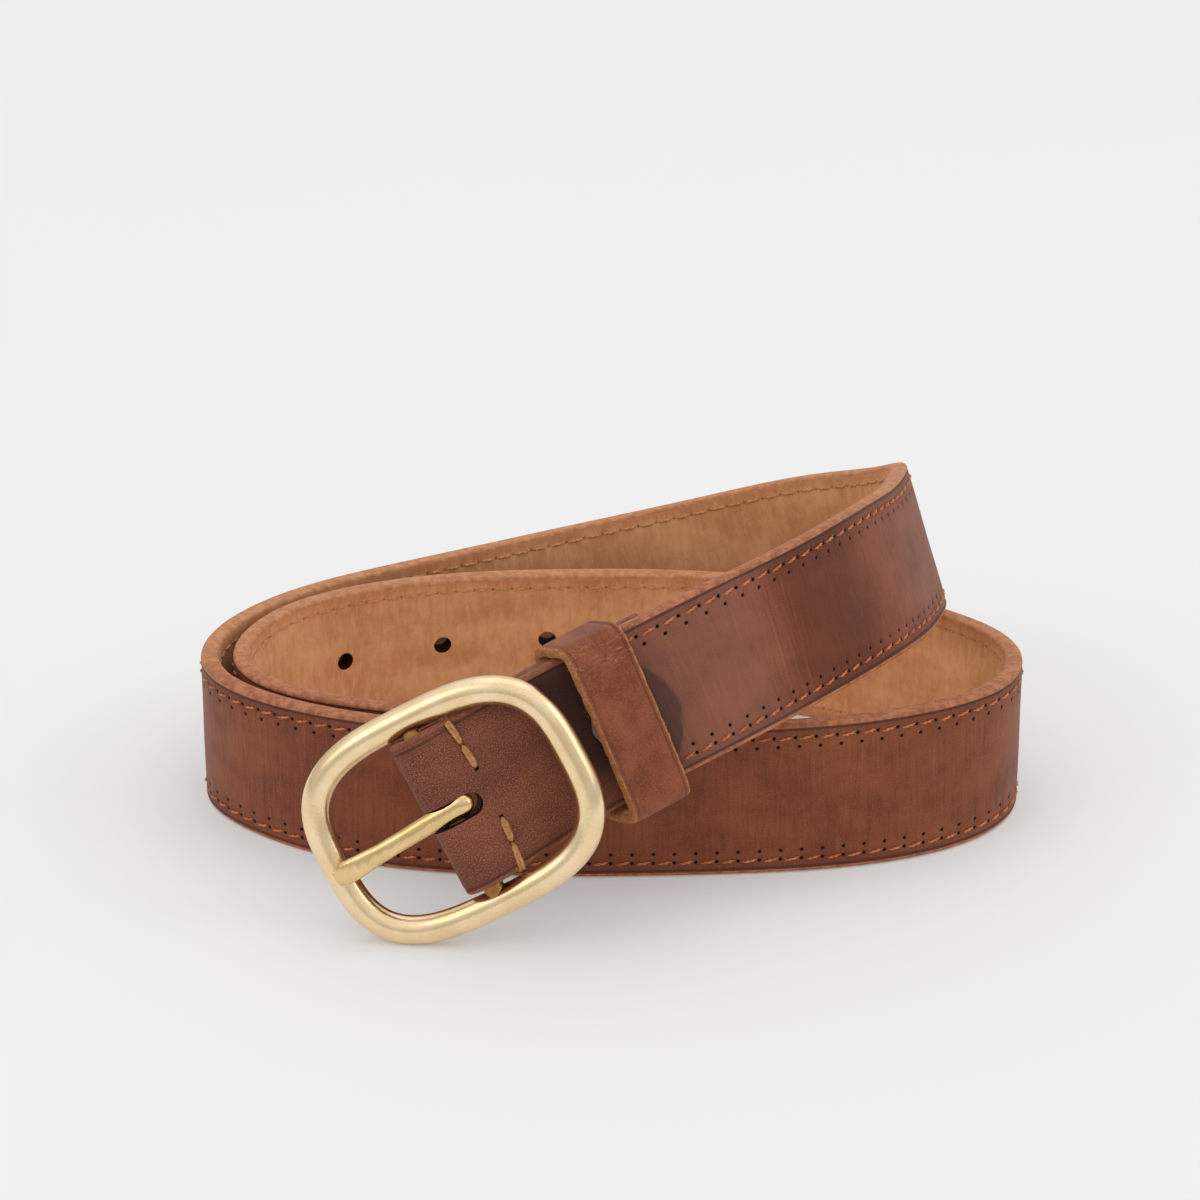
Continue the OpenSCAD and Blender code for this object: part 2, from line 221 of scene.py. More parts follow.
def frames(s):
    """Middle, direction, across and outward at each s."""
    s = np.asarray(s, float)
    lo, hi = np.maximum(s - 0.4, -BEND - FLAP), np.minimum(s + 0.4, TOTAL)
    t = unit(centre(hi) - centre(lo))
    sp = spline(np.interp(s, RUN, q_cad))
    x = np.where(s < -BEND, -(s + BEND), np.maximum(s, 0))
    c = np.where((s < JOIN)[:, None], layer_up(x), np.column_stack([sp[:, 3], sp[:, 4], np.ones(len(s))]))
    c = unit(c - (c * t).sum(1)[:, None] * t)
    return centre(s), t, c, np.cross(t, c)


# --------------------------------------------------------------- mesh helpers
def link(ob):
    bpy.context.scene.collection.objects.link(ob)
    return ob


def build(name, verts, faces, mats, index=None, uv=None, smooth=True, angle=None):
    me = bpy.data.meshes.new(name)
    faces = np.asarray(faces)
    me.vertices.add(len(verts))
    me.vertices.foreach_set("co", np.ascontiguousarray(verts, np.float32).ravel())
    n, k = faces.shape
    me.loops.add(n * k)
    me.loops.foreach_set("vertex_index", faces.ravel().astype(np.int32))
    me.polygons.add(n)
    me.polygons.foreach_set("loop_start", (np.arange(n) * k).astype(np.int32))
    for m in mats:
        me.materials.append(m)
    if index is not None:
        me.polygons.foreach_set("material_index", np.asarray(index, np.int32))
    if uv is not None:
        layer = me.uv_layers.new(name="leather")
        layer.data.foreach_set("uv", np.ascontiguousarray(uv[faces.ravel()], np.float32).ravel())
    me.update(calc_edges=True)
    me.validate()
    me.polygons.foreach_set("use_smooth", np.full(len(me.polygons), smooth))
    if angle:
        me.set_sharp_from_angle(angle=math.radians(angle))
    return link(bpy.data.objects.new(name, me))


def loops(nr, npf, close_ends=True, ring_closed=False):
    """Quads of nr rings with npf points each. close_ends is not used."""
    i, j = np.meshgrid(np.arange(nr if ring_closed else nr - 1), np.arange(npf), indexing="ij")
    i2, j2 = (i + 1) % nr, (j + 1) % npf
    return np.stack([i * npf + j, i * npf + j2, i2 * npf + j2, i2 * npf + j], -1).reshape(-1, 4)


def tube(points, radius, sides=12, squash=None, up=None):
    """Verts and quads, without end caps, for a tube along points; radius may vary."""
    p = np.asarray(points, float)
    n = len(p)
    r = np.broadcast_to(np.asarray(radius, float), (n,))
    t = np.gradient(p, axis=0)
    t = unit(t)
    u = np.asarray(up if up is not None else [0.3, 0.2, 0.93], float)
    a = unit(np.cross(t, u))
    b = np.cross(t, a)
    g = np.linspace(0, 2 * np.pi, sides, endpoint=False)
    sq = 1 if squash is None else squash
    v = p[:, None] + r[:, None, None] * (np.cos(g)[None, :, None] * a[:, None] + sq * np.sin(g)[None, :, None] * b[:, None])
    return v.reshape(-1, 3), loops(n, sides)


def cap_fans(v, f, nr, npf):
    """Adds a middle point and quads-as-triangles at both ends of a ring mesh."""
    v = np.vstack([v, v[:npf].mean(0), v[(nr - 1) * npf:nr * npf].mean(0)])
    a, b = len(v) - 2, len(v) - 1
    j = np.arange(npf)
    j2 = (j + 1) % npf
    tri = [np.stack([np.full(npf, a), j2, j], -1), np.stack([np.full(npf, b), (nr - 1) * npf + j, (nr - 1) * npf + j2], -1)]
    return v, tri


def build_mixed(name, v, quads, tris, mats, index=None, uv=None, angle=None):
    """A mesh of quads and triangles."""
    me = bpy.data.meshes.new(name)
    t = np.vstack(tris) if len(tris) else np.zeros((0, 3), int)
    loops_ = np.concatenate([quads.ravel(), t.ravel()]).astype(np.int32)
    starts = np.concatenate([np.arange(len(quads)) * 4, len(quads) * 4 + np.arange(len(t)) * 3]).astype(np.int32)
    me.vertices.add(len(v))
    me.vertices.foreach_set("co", np.ascontiguousarray(v, np.float32).ravel())
    me.loops.add(len(loops_))
    me.loops.foreach_set("vertex_index", loops_)
    me.polygons.add(len(starts))
    me.polygons.foreach_set("loop_start", starts)
    for m in mats:
        me.materials.append(m)
    if index is not None:
        me.polygons.foreach_set("material_index", np.asarray(index, np.int32))
    if uv is not None:
        layer = me.uv_layers.new(name="leather")
        layer.data.foreach_set("uv", np.ascontiguousarray(uv[loops_], np.float32).ravel())
    me.update(calc_edges=True)
    me.validate()
    me.polygons.foreach_set("use_smooth", np.full(len(me.polygons), True))
    if angle:
        me.set_sharp_from_angle(angle=math.radians(angle))
    return link(bpy.data.objects.new(name, me))


def many(parts):
    """Joins (verts, quads, tris) parts into one."""
    vs, qs, ts, n = [], [], [], 0
    for v, q, t in parts:
        vs.append(v)
        qs.append(q + n)
        ts += [x + n for x in t]
        n += len(v)
    return np.vstack(vs), np.vstack(qs), ts


def capped(points, radius, sides=12, squash=None, up=None):
    v, q = tube(points, radius, sides, squash, up)
    v, t = cap_fans(v, q, len(points), sides)
    return v, q, t


# ------------------------------------------------------------- material nodes
def srgb(r, g, b):
    f = lambda c: c / 12.92 if c <= 0.04045 else ((c + 0.055) / 1.055) ** 2.4
    return (f(r / 255), f(g / 255), f(b / 255), 1.0)


class Mat:
    """A Principled material and short names for the nodes it is made from."""

    def __init__(self, name, rough=0.5, metal=0.0, spec=None, sheen=None, coat=None, ior=None):
        self.m = bpy.data.materials.new(name)
        self.m.use_nodes = True
        self.t = self.m.node_tree
        self.t.nodes.clear()
        out = self.t.nodes.new("ShaderNodeOutputMaterial")
        self.b = self.t.nodes.new("ShaderNodeBsdfPrincipled")
        self.t.links.new(self.b.outputs[0], out.inputs[0])
        self.b.inputs["Roughness"].default_value = rough
        self.b.inputs["Metallic"].default_value = metal
        if ior is not None:
            self.b.inputs["IOR"].default_value = ior
        if spec is not None:
            self.b.inputs["Specular IOR Level"].default_value = spec
        if sheen is not None:
            self.b.inputs["Sheen Weight"].default_value = sheen[0]
            self.b.inputs["Sheen Roughness"].default_value = sheen[1]
            self.b.inputs["Sheen Tint"].default_value = sheen[2]
        if coat is not None:
            self.b.inputs["Coat Weight"].default_value = coat[0]
            self.b.inputs["Coat Roughness"].default_value = coat[1]

    def put(self, sock, v):
        if isinstance(v, bpy.types.NodeSocket):
            self.t.links.new(v, sock)
        elif v is not None:
            sock.default_value = v

    def math(self, op, a, b=None, c=None, clamp=False):
        n = self.t.nodes.new("ShaderNodeMath")
        n.operation = op
        n.use_clamp = clamp
        for k, v in enumerate((a, b, c)):
            self.put(n.inputs[k], v)
        return n.outputs[0]

    def add(self, a, b):
        return self.math("ADD", a, b)

    def mul(self, a, b):
        return self.math("MULTIPLY", a, b)

    def smooth(self, x, lo, hi, a=0.0, b=1.0):
        n = self.t.nodes.new("ShaderNodeMapRange")
        n.interpolation_type = "SMOOTHSTEP"
        self.put(n.inputs[0], x)
        for k, v in zip((1, 2, 3, 4), (lo, hi, a, b)):
            n.inputs[k].default_value = v
        return n.outputs[0]

    def mix(self, f, a, b, mode="MIX"):
        n = self.t.nodes.new("ShaderNodeMix")
        n.data_type = "RGBA"
        n.blend_type = mode
        self.put(n.inputs["Factor"], f)
        self.put(n.inputs[6], a)
        self.put(n.inputs[7], b)
        return n.outputs[2]

    def noise(self, vec, scale=1.0, detail=3.0, rough=0.5, dist=0.0):
        n = self.t.nodes.new("ShaderNodeTexNoise")
        self.put(n.inputs["Vector"], vec)
        n.inputs["Scale"].default_value = scale
        n.inputs["Detail"].default_value = detail
        n.inputs["Roughness"].default_value = rough
        n.inputs["Distortion"].default_value = dist
        return n.outputs[0]

    def voronoi(self, vec, scale=1.0, feature="F1", rand=1.0):
        n = self.t.nodes.new("ShaderNodeTexVoronoi")
        n.feature = feature
        self.put(n.inputs["Vector"], vec)
        n.inputs["Scale"].default_value = scale
        n.inputs["Randomness"].default_value = rand
        return n.outputs["Distance"]

    def object_mm(self):
        c = self.t.nodes.new("ShaderNodeTexCoord")
        return self.scale(c.outputs["Object"], 1000, 1000, 1000)

    def along_y(self, vec):
        s = self.t.nodes.new("ShaderNodeSeparateXYZ")
        self.t.links.new(vec, s.inputs[0])
        return s.outputs[1]

    def scale(self, vec, x, y, z):
        n = self.t.nodes.new("ShaderNodeVectorMath")
        n.operation = "MULTIPLY"
        self.put(n.inputs[0], vec)
        n.inputs[1].default_value = (x, y, z)
        return n.outputs[0]

    def leather_uv(self):
        """Along and across the leather in millimetres, and the two as one vector."""
        n = self.t.nodes.new("ShaderNodeUVMap")
        n.uv_map = "leather"
        v = self.scale(n.outputs[0], 1000, 1000, 0)
        s = self.t.nodes.new("ShaderNodeSeparateXYZ")
        self.t.links.new(v, s.inputs[0])
        return s.outputs[0], s.outputs[1], v

    def bump(self, height, strength=0.5, dist=0.1, normal=None):
        n = self.t.nodes.new("ShaderNodeBump")
        n.inputs["Strength"].default_value = strength
        n.inputs["Distance"].default_value = dist * MM
        self.put(n.inputs["Height"], height)
        self.put(n.inputs["Normal"], normal)
        return n.outputs[0]

    def done(self, colour=None, rough=None, normal=None):
        self.put(self.b.inputs["Base Color"], colour)
        self.put(self.b.inputs["Roughness"], rough)
        self.put(self.b.inputs["Normal"], normal)
        return self.m


def hole_mask(m, u, av, v, row, shift=0.0, r0=0.28, r1=0.56):
    """1 in the needle holes of one row, 0 outside; row is its distance from the edge."""
    f = m.math("SUBTRACT", u, S0 + shift)
    f = m.math("WRAP", f, PITCH / 2, -PITCH / 2)
    dv = m.math("SUBTRACT", av, STRAP_W / 2 - row)
    d = m.math("SQRT", m.add(m.mul(f, f), m.mul(dv, dv)))
    return m.smooth(d, r0, r1, 1.0, 0.0)


def grain_material():
    m = Mat("grain_leather", rough=0.5, spec=0.25)
    u, v, uv = m.leather_uv()
    av = m.math("ABSOLUTE", v)
    d = m.math("SUBTRACT", STRAP_W / 2, av)
    upper = m.math("GREATER_THAN", v, 0.0)
    stitched = m.mul(m.math("GREATER_THAN", u, S0 - 1), m.math("LESS_THAN", u, TOTAL - 30))
    # Colour: dark base, mottling, vertical pull-up streaks, fine pores
    big = m.noise(m.scale(uv, 0.045, 0.09, 1), 1.0, 4, 0.55)
    mid = m.noise(m.scale(uv, 0.32, 0.14, 1), 1.0, 3, 0.6, 0.4)
    streak = m.noise(m.scale(uv, 1.15, 0.07, 1), 1.0, 3, 0.65, 0.25)
    fine = m.noise(uv, 2.6, 2, 0.6)
    speck = m.noise(uv, 4.8, 2, 0.7)
    base = m.mix(m.smooth(big, 0.36, 0.66), srgb(112, 53, 28), srgb(142, 76, 43))
    base = m.mix(m.smooth(mid, 0.40, 0.70), base, srgb(130, 68, 40))
    base = m.mix(m.mul(m.smooth(streak, 0.5, 0.76), 0.5), base, srgb(84, 38, 22))
    base = m.mix(m.mul(m.smooth(streak, 0.46, 0.26), 0.3), base, srgb(168, 100, 64))
    base = m.mix(m.mul(m.smooth(fine, 0.42, 0.72), 0.22), base, srgb(180, 114, 78))
    base = m.mix(m.mul(m.smooth(speck, 0.52, 0.72), 0.22), base, srgb(74, 36, 26))
    # Painted reflection: a greyer patch beyond the keeper, where the waxy leather mirrors the white surroundings
    grey_sheen = m.mul(m.smooth(u, 44.0, 50.0), m.smooth(m.add(u, m.mul(streak, 10.0)), 74.0, 92.0, 1.0, 0.0))
    base = m.mix(m.mul(grey_sheen, 0.38), base, srgb(146, 102, 88))
    # Deeper, redder leather where the strap turns at its raised end
    bend = m.mul(m.smooth(m.add(u, m.mul(streak, 8.0)), 80.0, 96.0), m.smooth(m.add(u, m.mul(streak, 8.0)), 108.0, 130.0, 1.0, 0.0))
    base = m.mix(m.mul(bend, 0.6), base, srgb(86, 32, 12))
    # The folded end by the buckle is darker, partly its own darker dye and partly painted shade from the keeper and
    # ring, and left pebbly
    near = m.smooth(u, 38.0, 48.0, 1.0, 0.0)
    pebble = m.noise(uv, 3.9, 2, 0.6)
    dark = m.mix(m.smooth(big, 0.35, 0.7), srgb(102, 50, 35), srgb(130, 71, 49))
    dark = m.mix(m.mul(m.smooth(pebble, 0.5, 0.62), 0.55), dark, srgb(184, 122, 92))
    dark = m.mix(m.mul(m.smooth(fine, 0.52, 0.66), 0.5), dark, srgb(60, 27, 19))
    # Painted shade beside and under the keeper, darkest towards the upper edge
    hid = m.mul(m.smooth(u, 21.0, 27.0), m.smooth(v, -17.0, -5.0))
    dark = m.mix(m.mul(hid, 0.86), dark, srgb(46, 19, 12))
    du, dv_ = m.math("SUBTRACT", u, 38.6), m.math("ADD", v, 2.0)
    ring_d = m.math("SQRT", m.add(m.mul(du, du), m.mul(dv_, dv_)))
    stain = m.mul(m.smooth(m.add(ring_d, m.mul(m.math("SUBTRACT", mid, 0.5), 1.6)), 13.6, 14.7, 1.0, 0.0), m.math("GREATER_THAN", u, 20.0))
    base = m.mix(near, base, dark)
    base = m.mix(m.mul(m.mul(stain, m.smooth(u, 40.0, 44.0)), 0.72), base, srgb(74, 46, 44))
    # Burnished band along the edges and the crease, and painted shade: the needle holes coloured near-black
    edge = m.smooth(d, 1.2, 4.4, 1.0, 0.0)
    base = m.mix(m.mul(edge, 0.3), base, srgb(98, 52, 40))
    crease = m.smooth(m.math("ABSOLUTE", m.math("SUBTRACT", d, CREASE)), 0.12, 0.42, 1.0, 0.0)
    base = m.mix(m.mul(crease, 0.62), base, srgb(58, 28, 22))
    h1 = m.mix(upper, hole_mask(m, u, av, v, ROW1, SHIFT_LOW), hole_mask(m, u, av, v, ROW1))
    h2 = m.mix(upper, hole_mask(m, u, av, v, ROW2, SHIFT_LOW), hole_mask(m, u, av, v, ROW2, SHIFT2))
    holes = m.mul(m.math("MAXIMUM", h1, h2), stitched)
    # Painted shade in the needle holes
    base = m.mix(holes, base, srgb(34, 16, 11))
    # Roughness, a little higher at the folded end and in the needle holes, and the bump of pores, grain and streaks
    rough = m.add(0.40, m.mul(fine, 0.2))
    rough = m.add(rough, m.mul(near, 0.04))
    rough = m.math("MAXIMUM", rough, m.mul(holes, 0.9))
    pores = m.voronoi(uv, 2.1, "F1")
    h = m.add(m.mul(pores, 0.5), m.mul(m.noise(uv, 1.4, 4, 0.65), 0.9))
    h = m.add(h, m.mul(m.mul(streak, m.smooth(near, 0, 1, 1.0, 0.2)), 2.0))
    h = m.add(h, m.mul(m.mul(pebble, near), 0.4))
    n = m.bump(h, 0.4, 0.18)
    return m.done(base, rough, n)


def rim_material():
    m = Mat("rim_leather", rough=0.72, spec=0.3, sheen=(0.25, 0.5, srgb(235, 170, 130)))
    p = m.object_mm()
    u, v, uv = m.leather_uv()
    a = m.noise(p, 0.55, 4, 0.6)
    b = m.noise(p, 4.2, 3, 0.7)
    c = m.mix(m.smooth(a, 0.36, 0.66), srgb(148, 84, 56), srgb(186, 120, 84))
    c = m.mix(m.mul(m.smooth(b, 0.48, 0.7), 0.5), c, srgb(210, 150, 108))
    c = m.mix(m.mul(m.smooth(b, 0.45, 0.28), 0.45), c, srgb(96, 50, 34))
    # Darker edge towards the buckle end, partly its own darker dye and partly painted shade from the keeper and ring
    near = m.smooth(u, 36.0, 48.0, 1.0, 0.0)
    c = m.mix(m.mul(near, 0.55), c, srgb(92, 48, 36))
    # Bare tan edge round the back of the coil, burnished brown at the front
    back = m.smooth(m.along_y(p), -25.0, 20.0)
    tan = m.mix(m.smooth(a, 0.36, 0.66), srgb(186, 126, 86), srgb(208, 150, 106))
    c = m.mix(m.mul(back, 0.78), c, tan)
    n = m.bump(m.add(m.noise(p, 2.2, 4, 0.7), m.mul(b, 0.5)), 0.5, 0.22)
    return m.done(c, m.add(0.6, m.mul(b, 0.25)), n)


def flesh_material():
    m = Mat("flesh_leather", rough=0.85, spec=0.22, sheen=(0.3, 0.55, srgb(240, 200, 150)))
    u, v, uv = m.leather_uv()
    av = m.math("ABSOLUTE", v)
    d = m.math("SUBTRACT", STRAP_W / 2, av)
    big = m.noise(m.scale(uv, 0.05, 0.09, 1), 1.0, 4, 0.6)
    fib = m.noise(m.scale(uv, 0.55, 0.16, 1), 1.0, 4, 0.65, 0.5)
    fine = m.noise(uv, 2.4, 3, 0.7)
    c = m.mix(m.smooth(big, 0.34, 0.68), srgb(200, 138, 92), srgb(222, 164, 115))
    c = m.mix(m.mul(m.smooth(fib, 0.45, 0.72), 0.45), c, srgb(230, 178, 131))
    c = m.mix(m.mul(m.smooth(fib, 0.5, 0.28), 0.35), c, srgb(174, 112, 68))
    c = m.mix(m.mul(m.smooth(fine, 0.5, 0.75), 0.3), c, srgb(238, 186, 138))
    band = m.smooth(m.add(d, m.mul(m.math("SUBTRACT", fib, 0.5), 2.2)), 1.2, 2.8, 1.0, 0.0)
    c = m.mix(m.mul(band, 0.45), c, srgb(188, 114, 76))
    stitched = m.mul(m.math("GREATER_THAN", u, FLAP + 8), m.math("LESS_THAN", u, TOTAL - 30))
    upper = m.math("GREATER_THAN", v, 0.0)
    h1 = m.mix(upper, hole_mask(m, u, av, v, ROW1, SHIFT_LOW, 0.25, 0.55), hole_mask(m, u, av, v, ROW1, 0.0, 0.25, 0.55))
    c = m.mix(m.mul(m.mul(h1, stitched), 0.4), c, srgb(124, 76, 44))
    n = m.bump(m.add(m.noise(uv, 1.7, 4, 0.7), m.mul(fib, 0.8)), 0.45, 0.2)
    return m.done(c, None, n)


def cut_material():
    m = Mat("cut_leather", rough=0.85, spec=0.2)
    p = m.object_mm()
    a = m.noise(p, 3.0, 3, 0.7)
    c = m.mix(a, srgb(38, 19, 12), srgb(66, 37, 23))
    return m.done(c, None, m.bump(a, 0.5, 0.2))


def keeper_material():
    m = Mat("keeper_grain", rough=0.52, spec=0.28)
    u, v, uv = m.leather_uv()      # u along the band's length, v across it
    big = m.noise(m.scale(uv, 0.12, 0.16, 1), 1.0, 4, 0.6)
    fine = m.noise(uv, 2.3, 3, 0.65)
    speck = m.noise(uv, 4.6, 2, 0.7)
    fold = m.noise(m.scale(uv, 1.5, 0.5, 1), 1.0, 4, 0.65, 0.8)
    c = m.mix(m.smooth(big, 0.35, 0.68), srgb(122, 60, 34), srgb(150, 82, 51))
    c = m.mix(m.mul(m.smooth(fine, 0.5, 0.68), 0.45), c, srgb(180, 112, 76))
    c = m.mix(m.mul(m.smooth(speck, 0.52, 0.66), 0.35), c, srgb(88, 42, 27))
    top = m.smooth(u, 5.0, 11.0)
    low = m.smooth(u, 12.0, 19.0, 1.0, 0.0)
    creased = m.mul(top, low)
    c = m.mix(m.mul(m.mul(m.smooth(fold, 0.52, 0.7), creased), 0.55), c, srgb(86, 42, 28))
    c = m.mix(m.mul(m.mul(m.smooth(fold, 0.46, 0.3), creased), 0.6), c, srgb(206, 140, 104))
    side = m.math("ABSOLUTE", v)
    line = m.smooth(m.math("ABSOLUTE", m.math("SUBTRACT", side, KEEP_W / 2 - 1.15)), 0.08, 0.34, 1.0, 0.0)
    c = m.mix(m.mul(line, 0.4), c, srgb(78, 38, 26))
    h = m.add(m.mul(m.voronoi(uv, 1.6), 0.9), m.noise(uv, 1.2, 4, 0.65))
    h = m.add(h, m.mul(m.mul(fold, creased), 3.6))
    return m.done(c, m.add(0.42, m.mul(fine, 0.22)), m.bump(h, 0.5, 0.24))


def keeper_cut_material():
    m = Mat("keeper_cut", rough=0.88, spec=0.2, sheen=(0.4, 0.5, srgb(240, 180, 120)))
    p = m.object_mm()
    a = m.noise(p, 1.3, 4, 0.7)
    b = m.noise(p, 6.0, 3, 0.75)
    c = m.mix(m.smooth(a, 0.35, 0.68), srgb(150, 90, 56), srgb(200, 136, 88))
    c = m.mix(m.mul(m.smooth(b, 0.5, 0.7), 0.5), c, srgb(222, 164, 112))
    c = m.mix(m.mul(m.smooth(b, 0.45, 0.3), 0.5), c, srgb(104, 58, 36))
    return m.done(c, None, m.bump(m.add(a, b), 0.7, 0.35))


def brass_material(name="antique_brass", light=(255, 228, 187), dark=(168, 134, 90), rough=0.22):
    m = Mat(name, rough=rough, metal=1.0)
    p = m.object_mm()
    a = m.noise(p, 0.16, 3, 0.5)
    b = m.noise(p, 3.2, 4, 0.7)
    c2 = m.noise(p, 9.0, 2, 0.6)
    c = m.mix(m.smooth(a, 0.3, 0.7), srgb(*light), srgb(light[0] - 10, light[1] - 12, light[2] - 20))
    c = m.mix(m.mul(m.smooth(b, 0.54, 0.72), 0.5), c, srgb(*dark))
    c = m.mix(m.mul(m.smooth(c2, 0.6, 0.75), 0.35), c, srgb(dark[0] - 30, dark[1] - 30, dark[2] - 22))
    r = m.add(rough - 0.08, m.mul(b, 0.2))
    pits = m.smooth(m.voronoi(p, 0.42, "F1"), 0.05, 0.12)
    h = m.add(m.mul(m.noise(p, 1.1, 3, 0.55), 0.6), m.mul(b, 0.35))
    h = m.add(h, m.mul(pits, 0.5))
    return m.done(c, r, m.bump(h, 0.16, 0.16))


def thread_material(name, light, mid, dark):
    m = Mat(name, rough=0.48, spec=0.5, sheen=(0.2, 0.4, srgb(*light)))
    p = m.object_mm()
    a = m.noise(p, 1.1, 3, 0.6)
    b = m.noise(p, 7.0, 2, 0.6)
    c = m.mix(m.smooth(a, 0.35, 0.65), srgb(*mid), srgb(*light))
    c = m.mix(m.mul(m.smooth(b, 0.52, 0.7), 0.5), c, srgb(*dark))
    return m.done(c, None, m.bump(b, 0.4, 0.08))


def steel_material():
    m = Mat("fixing_steel", rough=0.28, metal=1.0)
    p = m.object_mm()
    a = m.noise(p, 2.5, 3, 0.6)
    c = m.mix(a, srgb(190, 190, 188), srgb(222, 222, 220))
    return m.done(c, m.add(0.2, m.mul(a, 0.2)), m.bump(a, 0.15, 0.05))


GRAIN, RIM, FLESH, CUT = grain_material(), rim_material(), flesh_material(), cut_material()
BRASS = brass_material()
TONGUE = brass_material("tongue_brass", (240, 208, 154), (150, 118, 68), 0.2)
EDGE_THREAD = thread_material("edge_thread", (216, 138, 82), (186, 100, 50), (112, 54, 26))
BACK_THREAD = thread_material("back_thread", (216, 156, 106), (196, 132, 84), (156, 98, 60))
FOLD_THREAD = thread_material("fold_thread", (204, 152, 96), (178, 118, 66), (116, 70, 36))
STEEL = steel_material()

# --------------------------------------------------------------------- strap
front_d = [0.9, 1.15, 1.32, 1.5, 2.2, 2.8, 3.2, 3.6, 4.3, 4.9, 5.3, 5.7, 7.0, 9.5, 13.0]
back_d = [0.9, 2.0, 2.8, 3.2, 3.6, 8.0]
half = STRAP_W / 2
fv = [-(half - d) for d in front_d] + [0.0] + [half - d for d in reversed(front_d)]
bv = [half - d for d in back_d] + [0.0] + [-(half - d) for d in reversed(back_d)]
ea = [30, 60, 90]


def profile(t):
    """Points (v, out) round the section for thickness t: front, far edge, back, near edge."""
    k = t / 2 - EDGE_R
    pts = [(v, t / 2) for v in fv]
    c = half - EDGE_R
    side = [(c + EDGE_R * math.sin(math.radians(a)), k + EDGE_R * math.cos(math.radians(a))) for a in ea]
    side.append((half + 0.08, 0.0))
    side += [(x, -y) for x, y in reversed(side[:3])]
    pts += side + [(v, -t / 2) for v in bv] + [(-x, y) for x, y in reversed(side)]
    return np.array(pts)


NP = len(profile(STRAP_T))
zone = np.array([0] * (len(fv) - 1) + [1] * 8 + [2] * (len(bv) - 1) + [1] * 8)

s_list = [np.arange(-BEND - FLAP, -BEND - 14, 2.2), np.arange(-BEND - 13.5, -BEND, 0.9),
          np.arange(-BEND, -0.01, BEND / 26), np.arange(0, JOIN, 0.55), np.arange(JOIN, S0 - 1.0, 0.95)]
n_st = int((TOTAL - 30 - S0) / PITCH)
offs = np.array([-0.4, 0.0, 0.4, 0.9, 1.25, 1.65, 2.05, 3.2])
s_list.append((S0 + np.arange(n_st + 1)[:, None] * PITCH + offs[None]).ravel())
s_list.append(np.arange(s_list[-1][-1] + 0.6, TOTAL - 8, 0.95))
s_list.append(TOTAL - 8 * (1 - np.linspace(0, 1, 14) ** 0.7))
S = np.concatenate(s_list)
M_, T_, C_, N_ = frames(S)
th = thick(S)
tip_r = 22.0
wid = np.where(S < TOTAL - tip_r, STRAP_W,
               np.maximum(6, STRAP_W * np.sqrt(np.clip(1 - ((S - TOTAL + tip_r) / tip_r) ** 2 * 0.97, 0, 1))))
NR = len(S)
P0, P1 = profile(FOLD_T), profile(STRAP_T)
mixt = (th - FOLD_T) / (STRAP_T - FOLD_T)
V = P0[None, :, 0] * (1 - mixt)[:, None] + P1[None, :, 0] * mixt[:, None]
O = P0[None, :, 1] * (1 - mixt)[:, None] + P1[None, :, 1] * mixt[:, None]
isf = np.zeros(NP, bool)
isf[:len(fv)] = True
isb = np.zeros(NP, bool)
isb[len(fv) + 7:len(fv) + 7 + len(bv)] = True
dist_edge = half - np.abs(V)
in_rows = ((S > S0 - 1) & (S < S0 + n_st * PITCH + 4.2))[:, None]
in_back = ((S > FLAP + 8) & (S < S0 + n_st * PITCH + 4.2))[:, None]


def wrap(x):
    return (x + PITCH / 2) % PITCH - PITCH / 2


def stitch_line(v):
    """Distance from the bar of the heavy stitching, bowed across the strap."""
    return 8.25 + 0.012 * v - 0.0042 * v * v


def pit(shift, row, depth, sig=0.21):
    ds = wrap(S - S0 - shift)[:, None]
    dv = dist_edge - row
    return -depth * np.exp(-(ds ** 2 + dv ** 2) / (2 * sig ** 2))


up_side = V > 0
disp = np.where(up_side, pit(0, ROW1, 0.85), pit(SHIFT_LOW, ROW1, 0.85)) - 0.10 * np.exp(-((dist_edge - ROW1) / 0.5) ** 2 / 2)
disp = disp + np.where(up_side, pit(SHIFT2, ROW2, 0.8), pit(SHIFT_LOW, ROW2, 0.8))
disp = np.where(in_rows, disp, 0.0)
disp = disp - 0.17 * np.exp(-((dist_edge - CREASE) / 0.15) ** 2 / 2)
wav = 0.05 * np.sin(S[:, None] / 5.3 + V / 9) * np.cos(S[:, None] / 11.7) + 0.04 * np.sin(S[:, None] / 2.3 - V / 3.7)
disp_f = disp + wav * np.exp(-((V / 15) ** 4))
# The leather dips where the heavy stitches pull it down beside the bar
line = S[:, None] - stitch_line(V)
inside = ease((np.abs(V) - 3.4) / 2.4)
disp_f = disp_f - 0.45 * inside * np.exp(-(line / 1.25) ** 2 / 2) * (S < 20)[:, None]
for z in STITCH_Z:
    disp_f = disp_f - 0.4 * np.exp(-((line / 0.9) ** 2 + ((np.abs(V) - z) / 0.9) ** 2) / 2) * (S < 20)[:, None]
disp_f = disp_f + 0.32 * ease(1 - np.abs(S[:, None] - 3.6) / 3.4) * ease((np.abs(V) - 3.2) / 3.0)
disp_f = disp_f + 0.22 * ease(1 - np.abs(S[:, None] - 13.0) / 4.0)
disp_b = np.where(in_back, np.where(up_side, pit(0, ROW1, 0.4), pit(SHIFT_LOW, ROW1, 0.4)), 0)
O = np.where(isf[None], O + disp_f, np.where(isb[None], O - disp_b, O))
V = V * (wid / STRAP_W)[:, None]
xs = np.where(S < -BEND, S + BEND, np.where(S < 0, 0, S))
V = V + np.where(V > 0, V / half, 0) * flare(xs)[:, None]
verts = M_[:, None] + V[..., None] * C_[:, None] + O[..., None] * N_[:, None]
verts = world(verts.reshape(-1, 3))
